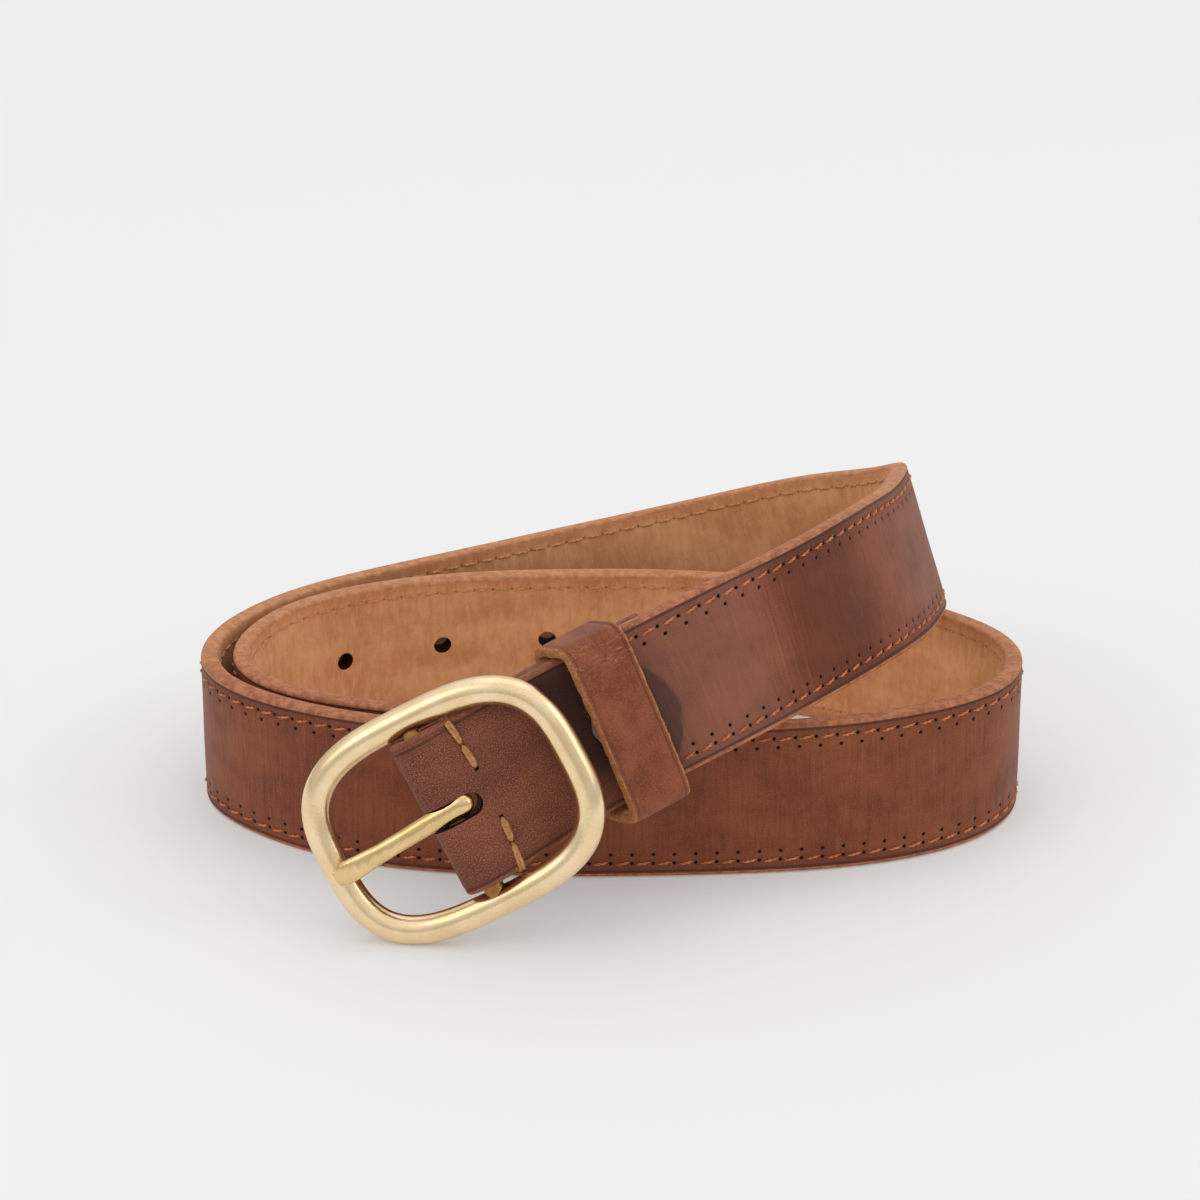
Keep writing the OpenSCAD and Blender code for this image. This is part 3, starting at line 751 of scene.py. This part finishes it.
quads = loops(NR, NP)
uvs = np.column_stack([np.repeat(S, NP) * MM, V.ravel() * MM])
index = np.tile(zone, NR - 1)
verts, tris = cap_fans(verts, quads, NR, NP)
uvs = np.vstack([uvs, [S[0] * MM, 0], [S[-1] * MM, 0]])
index = np.concatenate([index, np.full(2 * NP, 1)])
strap = build_mixed("strap_leather", verts, quads, tris, [GRAIN, RIM, FLESH, CUT], index, uvs)


def prism(centre_pts, direction, length, sides=32, taper=1.0):
    """The sides of a prism whose outline is centre_pts, pushed along direction both ways; the ends are left open."""
    a = np.asarray(centre_pts, float)
    d = np.asarray(direction, float) * length / 2
    mid = a.mean(0)
    return np.vstack([(a - mid) * taper + mid - d, a + d]), loops(2, len(a))


def circle(c, x, y, r, n=32):
    g = np.linspace(0, 2 * np.pi, n, endpoint=False)
    return np.asarray(c) + r * (np.cos(g)[:, None] * x + np.sin(g)[:, None] * y)


cut_parts = []


def add_cut(outline, direction, length):
    v, q = prism(outline, direction, length)
    v, t = cap_fans(v, q, 2, len(outline))
    # outward winding: the outline turns anticlockwise seen against direction
    n = np.cross(outline[1] - outline[0], outline[2] - outline[1])
    if n @ np.asarray(direction) < 0:
        q, t = q[:, ::-1], [x[:, ::-1] for x in t]
    cut_parts.append((world(v), q, t))


for k in range(-2, 3):
    m_, t_, c_, n_ = (x[0] for x in frames([MIDDLE_HOLE + k * HOLE_PITCH]))
    add_cut(circle(m_, t_, c_, HOLE_D / 2), n_, 12)
# Tongue slot, pushed through the bend and both layers
g = np.radians(np.linspace(-90, 90, 17))
r = SLOT_W / 2
outline = [(SLOT_END - r + r * math.cos(a), r * math.sin(a)) for a in g] + [(-12, r), (-12, -r)]
add_cut(np.array([BAR_C + x * FX + z * FZ for x, z in outline]), FY, 24)
add_cut(circle(at(SCREW_AT, 0, rise(SCREW_AT)), AX, AZ, 2.6), AY, 18)
for sgn in (1, -1):
    for z in STITCH_Z:
        x = stitch_line(sgn * z)
        add_cut(circle(layer(x, 0) + sgn * z * layer_up(x), FX, layer_up(x), 0.55, 14), layer_out(x), 18)
v, q, t = many(cut_parts)
cutter = build_mixed("cutter", v, q, t, [CUT])
mod = strap.modifiers.new("cut", "BOOLEAN")
mod.operation = "DIFFERENCE"
mod.object = cutter
mod.solver = "MANIFOLD"
dg = bpy.context.evaluated_depsgraph_get()
cut_mesh = bpy.data.meshes.new_from_object(strap.evaluated_get(dg), preserve_all_data_layers=True, depsgraph=dg)
strap.modifiers.clear()
strap.data = cut_mesh
cut_mesh.name = "strap_leather"
bpy.data.objects.remove(cutter)
print("strap mesh", len(cut_mesh.polygons), "faces; materials", [m.name if m else None for m in cut_mesh.materials])
cut_mesh.set_sharp_from_angle(angle=math.radians(50))
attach(strap, "strap_body")
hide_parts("strap")

# ------------------------------------------------------------ edge stitching
def stitch_row(side, face, s_from):
    """Twisted two-ply stitches of one row; side is the edge, face is 1 outside or -1 inside."""
    k = np.arange(n_st)
    k = k[S0 + k * PITCH >= s_from]
    n = len(k)
    npt = 9
    w = np.linspace(0, 1, npt)
    ds = 1.0 + 3.05 * w
    if face > 0:
        dv = -0.30 + 0.56 * w
        h = STRAP_T / 2 + 0.30 * np.sin(np.pi * w) ** 0.55 - 0.22
    else:
        ds = 0.35 + 3.95 * w
        dv = 0.0 * w
        h = STRAP_T / 2 + 0.26 * np.sin(np.pi * w) ** 0.5 - 0.16
    jit = rng.normal(0, 1, (n, 4))
    s = S0 + (0 if side > 0 else SHIFT_LOW) + k[:, None] * PITCH + ds[None] + 0.05 * jit[:, :1]
    m_, t_, c_, n_ = frames(s.ravel())
    v_ = side * (half - ROW1) + (dv[None] + 0.04 * jit[:, 1:2]) + 0 * s
    o_ = face * (h[None] + 0.02 * jit[:, 2:3] + 0 * s)
    mid = m_ + v_.ravel()[:, None] * c_ + o_.ravel()[:, None] * n_
    ph = (w[None] * 2 * np.pi * 1.25 + jit[:, 3:4] * 0.5).ravel()
    out = []
    for ply in (0, np.pi):
        a = np.cos(ph + ply)[:, None] * c_ + face * np.sin(ph + ply)[:, None] * n_
        p = mid + 0.155 * a
        g = np.linspace(0, 2 * np.pi, 6, endpoint=False)
        rad = 0.2 * np.sqrt(np.clip(np.sin(np.pi * np.clip(w, 0.04, 0.96)), 0.25, 1))
        rr = np.tile(rad, n)
        vv = p[:, None] + rr[:, None, None] * (np.cos(g)[None, :, None] * c_[:, None] + np.sin(g)[None, :, None] * n_[:, None])
        # winding follows +c to +n round the direction of travel
        base = loops(npt, 6)[:, ::-1]
        q = (base[None] + (np.arange(n) * npt * 6)[:, None, None]).reshape(-1, 4)
        vv = vv.reshape(-1, 3)
        j = np.arange(6)
        caps = np.stack([np.array([[0, 1, 2, 3], [0, 3, 4, 5]]), np.array([[3, 2, 1, 0], [5, 4, 3, 0]]) + (npt - 1) * 6])
        cq = (caps.reshape(-1, 4)[None] + (np.arange(n) * npt * 6)[:, None, None]).reshape(-1, 4)
        out.append((world(vv), np.vstack([q, cq]), []))
    return out


for side, label in ((1, "upper"), (-1, "lower")):
    outer, inner = stitch_row(side, 1, S0), stitch_row(side, -1, FLAP + 8)
    v, q, t = many(outer + inner)
    n_out = sum(len(part[1]) for part in outer)
    ob = build(f"edge_stitches_{label}", v, q, [EDGE_THREAD, BACK_THREAD], (np.arange(len(q)) >= n_out).astype(int))
    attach(ob, "strap_body")
    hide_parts(f"edge_thread_{label}")

# ------------------------------------------------------------- fold stitches
def strands(path, width, ups, seed=0):
    """Two waxed strands side by side, each of three plies, along a path with its outward directions."""
    p = np.asarray(path, float)
    o = unit(np.asarray(ups, float))
    d = np.concatenate([[0], np.cumsum(np.linalg.norm(np.diff(p, axis=0), axis=1))])
    n = int(d[-1] / 0.26) + 2
    u = np.linspace(0, d[-1], n)
    p = np.column_stack([np.interp(u, d, p[:, k]) for k in range(3)])
    o = unit(np.column_stack([np.interp(u, d, o[:, k]) for k in range(3)]))
    for _ in range(3):
        p[1:-1] = (p[:-2] + 2 * p[1:-1] + p[2:]) / 4
    w = u / d[-1]
    t_ = unit(np.gradient(p, axis=0))
    side = np.cross(t_, o)
    parts = []
    for k, off in enumerate((-1, 1)):
        spread = off * width * (0.3 + 0.7 * np.sin(np.pi * w) ** 0.7)
        mid = p + spread[:, None] * side
        for ply in range(3):
            ph = 2 * np.pi * (u / 4.6 + ply / 3) + seed + k
            pt = mid + 0.19 * (np.cos(ph)[:, None] * side + 0.8 * np.sin(ph)[:, None] * o)
            parts.append(capped(world(pt), 0.27 * MM * (0.8 + 0.2 * np.sin(np.pi * w)), 8))
    return parts


def skin(v, lift, back=False):
    """A point over the stitch line at v across the strap, with its outward direction."""
    x = stitch_line(v)
    if back:
        y = GAP + FOLD_T + (FOLD_R - GAP - FOLD_T / 2) * float(ease(1 - x / 13)) + lift
        return layer(x, y) + v * layer_up(x), layer_out(x)
    th_ = float(thick(np.array([x]))[0])
    y = GAP + th_ + (FOLD_R - GAP - FOLD_T / 2) * float(ease(1 - x / 13)) + lift
    return layer(x, -y) + v * layer_up(x), -layer_out(x)


def side_point(v, y, out_z):
    x = stitch_line(v)
    return layer(x, y) + (v + out_z) * layer_up(x), layer_up(x) * np.sign(v)


for sgn, label in ((1, "upper"), (-1, "lower")):
    parts = []
    za, zb = STITCH_Z
    for back in (False, True):
        pts = [skin(sgn * (za - 0.15), -1.1, back), skin(sgn * (za - 0.7), -0.1, back), skin(sgn * (za + zb) / 2, 0.12, back),
               skin(sgn * (zb + 0.7), -0.15, back), skin(sgn * (zb + 0.1), -1.2, back)]
        parts += strands([q_[0] for q_ in pts], 0.36, [q_[1] for q_ in pts], seed=1 + back)
    # from the outer needle hole round the strap's edge to the back
    pts = [skin(sgn * (za + 0.1), -1.2), skin(sgn * (za + 0.8), -0.15), skin(sgn * 14.6, 0.14), skin(sgn * 16.6, 0.12),
           skin(sgn * 17.3, -0.1), side_point(sgn * 17.5, -3.2, sgn * 0.35), side_point(sgn * 17.5, 0, sgn * 0.35),
           side_point(sgn * 17.5, 3.0, sgn * 0.35), skin(sgn * 17.3, -0.1, True), skin(sgn * 16.6, 0.12, True),
           skin(sgn * 14.6, 0.14, True), skin(sgn * (za + 0.8), -0.15, True), skin(sgn * (za + 0.1), -1.2, True)]
    parts += strands([q_[0] for q_ in pts], 0.46, [q_[1] for q_ in pts], seed=3)
    v, q, t = many(parts)
    ob = build_mixed(f"fold_stitches_{label}", v, q, t, [FOLD_THREAD])
    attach(ob, "strap_body")
    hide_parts(f"fold_thread_{label}")

# -------------------------------------------------------------------- buckle
def super_ring(a, b, e, n=360):
    g = np.linspace(0, 2 * np.pi, n, endpoint=False)
    c, s = np.cos(g), np.sin(g)
    x = a * np.sign(c) * np.abs(c) ** (2 / e)
    z = b * np.sign(s) * np.abs(s) ** (2 / e)
    p = np.column_stack([x, z])
    # even spacing along the outline
    q = np.vstack([p, p[:1]])
    d = np.concatenate([[0], np.cumsum(np.linalg.norm(np.diff(q, axis=0), axis=1))])
    u = np.linspace(0, d[-1], n, endpoint=False)
    return np.column_stack([np.interp(u, d, q[:, 0]), np.interp(u, d, q[:, 1])])


ring2 = super_ring(RING_A, RING_B, RING_N, 300)
for _ in range(6):
    ring2 = (np.roll(ring2, 1, 0) + 2 * ring2 + np.roll(ring2, -1, 0)) / 4
tan2 = np.roll(ring2, -1, 0) - np.roll(ring2, 1, 0)
tan2 /= np.linalg.norm(tan2, axis=1)[:, None]
nor2 = np.column_stack([tan2[:, 1], -tan2[:, 0]])      # outward in the ring's plane
ns_ = 40
g = np.linspace(0, 2 * np.pi, ns_, endpoint=False)
i_ = np.arange(len(ring2))
wob = 1 + 0.006 * np.sin(i_ / 300 * 2 * np.pi * 3 + 0.7)[:, None] + 0.004 * np.sin(i_ / 300 * 2 * np.pi * 7)[:, None] * np.cos(g)[None]
rad = WIRE_R * wob
ring_v = np.zeros((len(ring2), ns_, 3))
ring_v[..., 0] = ring2[:, None, 0] + rad * np.cos(g)[None] * nor2[:, None, 0]
ring_v[..., 2] = ring2[:, None, 1] + rad * np.cos(g)[None] * nor2[:, None, 1]
ring_v[..., 1] = -0.96 * rad * np.sin(g)[None]
ring = build("buckle_ring", in_frame(ring_v.reshape(-1, 3)), loops(len(ring2), ns_, ring_closed=True), [BRASS])
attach(ring, "frame_body")
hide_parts("buckle_frame")

# Centre bar, swelling into the ring at one end and narrowing at the other, cast with a rough skin
zz = np.concatenate([np.linspace(-21.6, -17, 10), np.linspace(-16, 16, 33), np.linspace(17, 21.6, 10)])
rr = BAR_D / 2 * (1 + np.where(zz < 0, 0.16, -0.35) * ease((np.abs(zz) - 17.5) / 3.2)) + 0.03 * np.sin(zz * 2.1)
bar_pts = np.column_stack([0 * zz, 0 * zz, zz])
v, q, t = capped(bar_pts, rr, 28, up=[1, 0, 0])
ang = np.arctan2(v[:, 1], v[:, 0])
v[:, :2] *= (1 + 0.012 * np.sin(5 * ang + v[:, 2] * 1.7) + 0.01 * np.sin(3 * ang - v[:, 2] * 2.9))[:, None]
# The bar's brass colours are darkened as painted shade, where the bar sits inside the leather fold
bar = build_mixed("buckle_bar_cast", in_frame(v), q, t, [brass_material("bar_brass", (178, 138, 84), (84, 58, 32), 0.4)], angle=60)
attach(bar, "frame_body")
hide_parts("buckle_bar")

# Tongue: shank lofted from its rounded root over the bar to a flat bevelled tip
def loft(sections, n=28):
    """Closed loft of superellipse sections: (x, y, half across z, half through y, exponent)."""
    g = np.linspace(0, 2 * np.pi, n, endpoint=False)
    rings_ = []
    for x, y, hz, hy, e, sl in sections:
        c, s_ = np.cos(g), np.sin(g)
        z = hz * np.sign(c) * np.abs(c) ** (2 / e)
        yy = hy * np.sign(s_) * np.abs(s_) ** (2 / e)
        rings_.append(np.column_stack([x + yy * sl, y + yy, z]))
    v = np.vstack(rings_)
    q = loops(len(sections), n)
    v, t = cap_fans(v, q, len(sections), n)
    return v, q, t


def interp_sections(keys, per=7):
    k = np.array(keys, float)
    d = np.concatenate([[0], np.cumsum(np.linalg.norm(np.diff(k[:, :2], axis=0), axis=1) + 1e-6)])
    u = np.concatenate([np.linspace(a, b, per, endpoint=False) for a, b in zip(d[:-1], d[1:])] + [[d[-1]]])
    # monotone cubic through the keys
    out = []
    for c in range(k.shape[1]):
        y = k[:, c]
        m = np.gradient(y, d)
        i = np.clip(np.searchsorted(d, u, side="right") - 1, 0, len(d) - 2)
        hh = d[i + 1] - d[i]
        tt = (u - d[i]) / hh
        out.append((2 * tt ** 3 - 3 * tt ** 2 + 1) * y[i] + (tt ** 3 - 2 * tt ** 2 + tt) * hh * m[i]
                   + (-2 * tt ** 3 + 3 * tt ** 2) * y[i + 1] + (tt ** 3 - tt ** 2) * hh * m[i + 1])
    return np.column_stack(out)


root = []
for a in np.radians([4, 18, 34, 52, 70]):
    root.append([3.8 + 2.2 * math.cos(a), -3.35, 2.2 * math.sin(a) + 0.02, 2.0 * math.sin(a) + 0.02, 2.1, 0])
keys = root + [
    [3.1, -3.37, 2.24, 2.05, 2.2, 0], [-1.0, -3.56, 2.22, 1.97, 2.3, 0], [-6.5, -3.86, 2.12, 1.8, 2.4, 0],
    [-12, -4.35, 2.05, 1.72, 2.4, 0], [-17.5, -4.8, 2.12, 1.5, 2.5, 0], [-21.5, -5.05, 2.35, 1.32, 2.6, 0.1],
    [-24.4, -5.0, 2.5, 1.25, 2.8, 0.2], [-26.4, -4.82, 2.3, 1.05, 2.6, 0.3], [-27.6, -4.65, 1.8, 0.8, 2.3, 0.35],
    [-28.35, -4.52, 1.15, 0.4, 2.2, 0.4], [-28.5, -4.5, 0.15, 0.08, 2.0, 0.4]]
k_root = len(root)
sec = np.vstack([np.array(keys[:k_root]), interp_sections(keys[k_root:], 8)])
v, q, t = loft(sec)
# hammered flats along the shank
hx = v[:, 0]
v[:, 1] += np.where((v[:, 1] < -4.2) & (hx < -2) & (hx > -23), 0.05 * np.sin(hx * 0.9) + 0.03 * np.sin(hx * 2.3 + 1), 0)
v = v @ rot("y", -4).T
v[:, 2] += 0.55
parts = [(in_frame(v), q, t)]
# the eye that wraps the bar
ga = np.linspace(0, 2 * np.pi, 48, endpoint=False)
ri, ro, hw = BAR_D / 2 + 0.08, 3.75, 2.05
sec_eye = np.array([[ri, -hw + 0.3], [ri + 0.3, -hw], [ro - 0.5, -hw], [ro - 0.12, -hw + 0.15], [ro, -hw + 0.5],
                    [ro, hw - 0.5], [ro - 0.12, hw - 0.15], [ro - 0.5, hw], [ri + 0.3, hw], [ri, hw - 0.3]])
ev = np.stack([sec_eye[None, :, 0] * np.cos(ga)[:, None], sec_eye[None, :, 0] * np.sin(ga)[:, None],
               np.broadcast_to(sec_eye[None, :, 1], (48, 10))], -1).reshape(-1, 3)
parts.append((in_frame(ev), loops(48, 10, ring_closed=True)[:, ::-1], []))
v, q, t = many(parts)
tongue = build_mixed("tongue_cast", v, q, t, [TONGUE], angle=50)
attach(tongue, "tongue_body")
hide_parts("buckle_tongue")

# -------------------------------------------------------------------- keeper
IN_Z = STRAP_W + 2
FRONT = -(2 * GAP + STRAP_T + KEEP_ROOM)
BACK = 2 * GAP + FOLD_T + 0.5


def rounded_path(hy0, hy1, hz, r, n=10):
    """Points (y, z) anticlockwise from the middle of the front side, which is at y = hy0."""
    pts = []
    for cy, cz, a0 in ((hy0 + r, hz - r, 180), (hy1 - r, hz - r, 90), (hy1 - r, -hz + r, 0), (hy0 + r, -hz + r, -90)):
        for a in np.linspace(a0, a0 - 90, n):
            pts.append((cy + r * math.cos(math.radians(a)), cz + r * math.sin(math.radians(a))))
    return np.array(pts)


mid_t = KEEP_T / 2
path = rounded_path(FRONT - mid_t, BACK + mid_t, IN_Z / 2 + mid_t, 2.8)
path = np.vstack([path, path[:1]])
d = np.concatenate([[0], np.cumsum(np.linalg.norm(np.diff(path, axis=0), axis=1))])
nk = 220
u_ = np.linspace(0, d[-1], nk, endpoint=False)
py, pz = np.interp(u_, d, path[:, 0]), np.interp(u_, d, path[:, 1])
pp = np.column_stack([py, pz])
for _ in range(5):
    pp = (np.roll(pp, 1, 0) + 2 * pp + np.roll(pp, -1, 0)) / 4
# the front bows out a little between its corners
front_w = np.exp(-((pp[:, 0] - (FRONT - mid_t)) / 1.6) ** 2)
pp[:, 0] -= 0.45 * front_w * np.cos(np.clip(pp[:, 1] / (IN_Z / 2), -1, 1) * np.pi / 2)
tt = np.roll(pp, -1, 0) - np.roll(pp, 1, 0)
tt /= np.linalg.norm(tt, axis=1)[:, None]
nn = np.column_stack([-tt[:, 1], tt[:, 0]])
if (nn * (pp - pp.mean(0))).sum() < 0:
    nn = -nn
er = 0.55
hw, ht = KEEP_W / 2, KEEP_T / 2
kp = [(-hw + er, ht), (-hw + er + 0.5, ht - 0.0), (-hw + 1.15, ht - 0.12), (-hw + 1.5, ht)]
kp += [(x, ht + 0.06 * math.cos(x / hw * 1.4)) for x in np.linspace(-hw + 2.2, hw - 2.2, 15)]
kp += [(hw - 1.5, ht), (hw - 1.15, ht - 0.12), (hw - er - 0.5, ht), (hw - er, ht)]
n_front = len(kp)
side_ = [(hw - er + er * math.sin(math.radians(a)), ht - er + er * math.cos(math.radians(a))) for a in (30, 60, 90)]
side_ += [(hw + 0.04, 0.2), (hw + 0.04, -0.2)] + [(x, -y) for x, y in reversed(side_)]
kp += side_ + [(x, -ht) for x in np.linspace(hw - er, -hw + er, 9)] + [(-x, y) for x, y in reversed(side_)]
kp = np.array(kp)
nkp = len(kp)
zone_k = np.array([0] * (n_front - 1) + [1] * 9 + [2] * 8 + [1] * 9)
jx = np.zeros((nk, nkp))
edge_pts = np.abs(kp[:, 0]) > hw - 0.3
rough_edge = rng.normal(0, 1, (nk, nkp))
for _ in range(1):
    rough_edge = (np.roll(rough_edge, 1, 0) + rough_edge + np.roll(rough_edge, -1, 0)) / 1.9
jx = np.where(edge_pts[None], 0.09 * rough_edge, 0)
cx = KEEP_AT + KEEP_W / 2
kv = np.zeros((nk, nkp, 3))
kv[..., 0] = cx + kp[None, :, 0] + jx - KEEP_SKEW * (pp[:, None, 0] + kp[None, :, 1] * nn[:, None, 0])
kv[..., 0] += KEEP_LEAN * (pp[:, None, 1] + kp[None, :, 1] * nn[:, None, 1])
kv[..., 1] = pp[:, None, 0] + kp[None, :, 1] * nn[:, None, 0]
kv[..., 2] = KEEP_Z + pp[:, None, 1] + kp[None, :, 1] * nn[:, None, 1]
arc = u_ - np.interp(0, [0], [0])
# u runs from the middle of the top, over the front: measured from the top middle
top_i = int(np.argmax(pp[:, 1] * 10 - np.abs(pp[:, 0])))
ua = (u_ - u_[top_i]) % d[-1]
z_sign = ua
uvk = np.column_stack([np.repeat(np.where(ua > d[-1] / 2, d[-1] - ua, ua), nkp) * MM, np.tile(kp[:, 0], nk) * MM])
kq = loops(nk, nkp, ring_closed=True)
test = kv.reshape(-1, 3)
a_, b_, c_ = test[kq[5, 0]], test[kq[5, 1]], test[kq[5, 2]]
nrm = np.cross(b_ - a_, c_ - b_)
out = np.array([0, nn[0, 0], nn[0, 1]])
if nrm @ out < 0:
    kq = kq[:, ::-1]
KG, KC = keeper_material(), keeper_cut_material()
keeper = build("keeper_band", in_buckle(test), kq, [KG, KC, FLESH], np.tile(zone_k, nk), uvk, angle=None)
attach(keeper, "keeper_body")
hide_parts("keeper")

# Loose fibres standing from the keeper's cut edges
parts = []
for side_x in (-1, 1):
    for _ in range(260 if side_x < 0 else 90):
        i = int(rng.integers(0, nk))
        y_ = rng.uniform(-0.9, 0.95)
        at_back = pp[i, 0] > BACK - 2
        y_ = abs(y_) if at_back else y_
        base = np.array([cx + side_x * (hw - 0.02) - KEEP_SKEW * (pp[i, 0] + y_ * nn[i, 0])
                         + KEEP_LEAN * (pp[i, 1] + y_ * nn[i, 1]), pp[i, 0] + y_ * nn[i, 0],
                         KEEP_Z + pp[i, 1] + y_ * nn[i, 1]])
        tang = np.array([0, tt[i, 0], tt[i, 1]])
        outv = np.array([0, nn[i, 0], nn[i, 1]])
        dirv = side_x * np.array([1, 0, 0]) * rng.uniform(0.3, 1) + tang * rng.normal(0, 0.8) + outv * (abs(rng.normal(0, 0.45)) if at_back else rng.normal(0, 0.45))
        dirv /= np.linalg.norm(dirv)
        bend = tang * rng.normal(0, 0.6) + outv * (abs(rng.normal(0, 0.4)) if at_back else rng.normal(0, 0.4))
        ln = rng.uniform(0.25, 0.8)
        w = np.linspace(0, 1, 5)[:, None]
        pts = base + ln * w * dirv + ln * 0.5 * w ** 2 * bend
        v_, q_ = tube(in_buckle(pts), np.array([0.05, 0.045, 0.035, 0.025, 0.01]) * MM, 3)
        caps = [np.array([[0, 2, 1]]), np.array([[12, 13, 14]])]
        parts.append((v_, q_, caps))
v, q, t = many(parts)
fuzz = build_mixed("keeper_fibres", v, q, t, [KC])
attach(fuzz, "keeper_body")

# ---------------------------------------------------------------- small steel
for name in ("keeper_staple", "screw_post", "screw"):
    ob = frame["nodes"][name]
    for sl in ob.material_slots:
        sl.material = STEEL
    if not ob.material_slots:
        ob.data.materials.append(STEEL)

# --------------------------------------------------------------------- studio
floor_m = Mat("studio_floor", rough=0.9, spec=0.1)
fn = floor_m.noise(floor_m.object_mm(), 0.004, 2, 0.5)
floor_m.b.inputs["Emission Color"].default_value = (1, 1, 1, 1)
floor_m.b.inputs["Emission Strength"].default_value = 0.165      # lit from below, as a light table is
floor_mat = floor_m.done(floor_m.mix(fn, (0.72, 0.72, 0.72, 1), (0.73, 0.73, 0.73, 1)))
fl = build("studio_floor", np.array([[-9, -9, 0], [9, -9, 0], [9, 9, 0], [-9, 9, 0]], float), [[0, 1, 2, 3]], [floor_mat])

w_ = bpy.data.worlds.new("studio")
bpy.context.scene.world = w_
w_.use_nodes = True
bg = w_.node_tree.nodes.get("Background") or w_.node_tree.nodes.new("ShaderNodeBackground")
bg.inputs[0].default_value = (1, 1, 1, 1)
bg.inputs[1].default_value = 1.0
# A sky that is brighter overhead, as under a large diffuser
tree = w_.node_tree
tc = tree.nodes.new("ShaderNodeTexCoord")
sp = tree.nodes.new("ShaderNodeSeparateXYZ")
mr = tree.nodes.new("ShaderNodeMapRange")
mr.interpolation_type = "SMOOTHSTEP"
for k, val in zip((1, 2, 3, 4), (0.0, 0.8, 0.5, 0.93)):
    mr.inputs[k].default_value = val
tree.links.new(tc.outputs["Generated"], sp.inputs[0])
tree.links.new(sp.outputs[2], mr.inputs[0])
tree.links.new(mr.outputs[0], bg.inputs[1])
if not bg.outputs[0].links:
    wo = w_.node_tree.nodes.get("World Output") or w_.node_tree.nodes.new("ShaderNodeOutputWorld")
    w_.node_tree.links.new(bg.outputs[0], wo.inputs[0])


def softbox(name, loc, aim, size, power, size_y=None):
    l = bpy.data.lights.new(name, "AREA")
    l.shape = "RECTANGLE"
    l.size = size
    l.size_y = size_y or size
    l.energy = power
    ob = link(bpy.data.objects.new(name, l))
    from mathutils import Vector
    ob.location = loc
    ob.rotation_euler = (Vector(aim) - Vector(loc)).to_track_quat("-Z", "Y").to_euler()
    return ob


softbox("softbox_left", (-1.35, -0.75, 1.15), (0, 0, 0.03), 1.0, 2.6)
softbox("softbox_right", (1.45, -0.35, 1.0), (0, 0, 0.03), 1.0, 3.0)
softbox("softbox_top", (0.0, 0.35, 1.7), (0, 0, 0.02), 1.3, 2.0)

cam = bpy.data.cameras.new("camera")
cam.lens = 113.08
cam.sensor_width = 36
cam.clip_start = 0.01
cam.clip_end = 50
co = link(bpy.data.objects.new("camera", cam))
co.location = (-0.0025, -0.7902, 0.36633)
co.rotation_euler = (math.radians(90 - 21.863), 0, 0)
bpy.context.scene.camera = co
bpy.context.scene.view_settings.view_transform = "Standard"
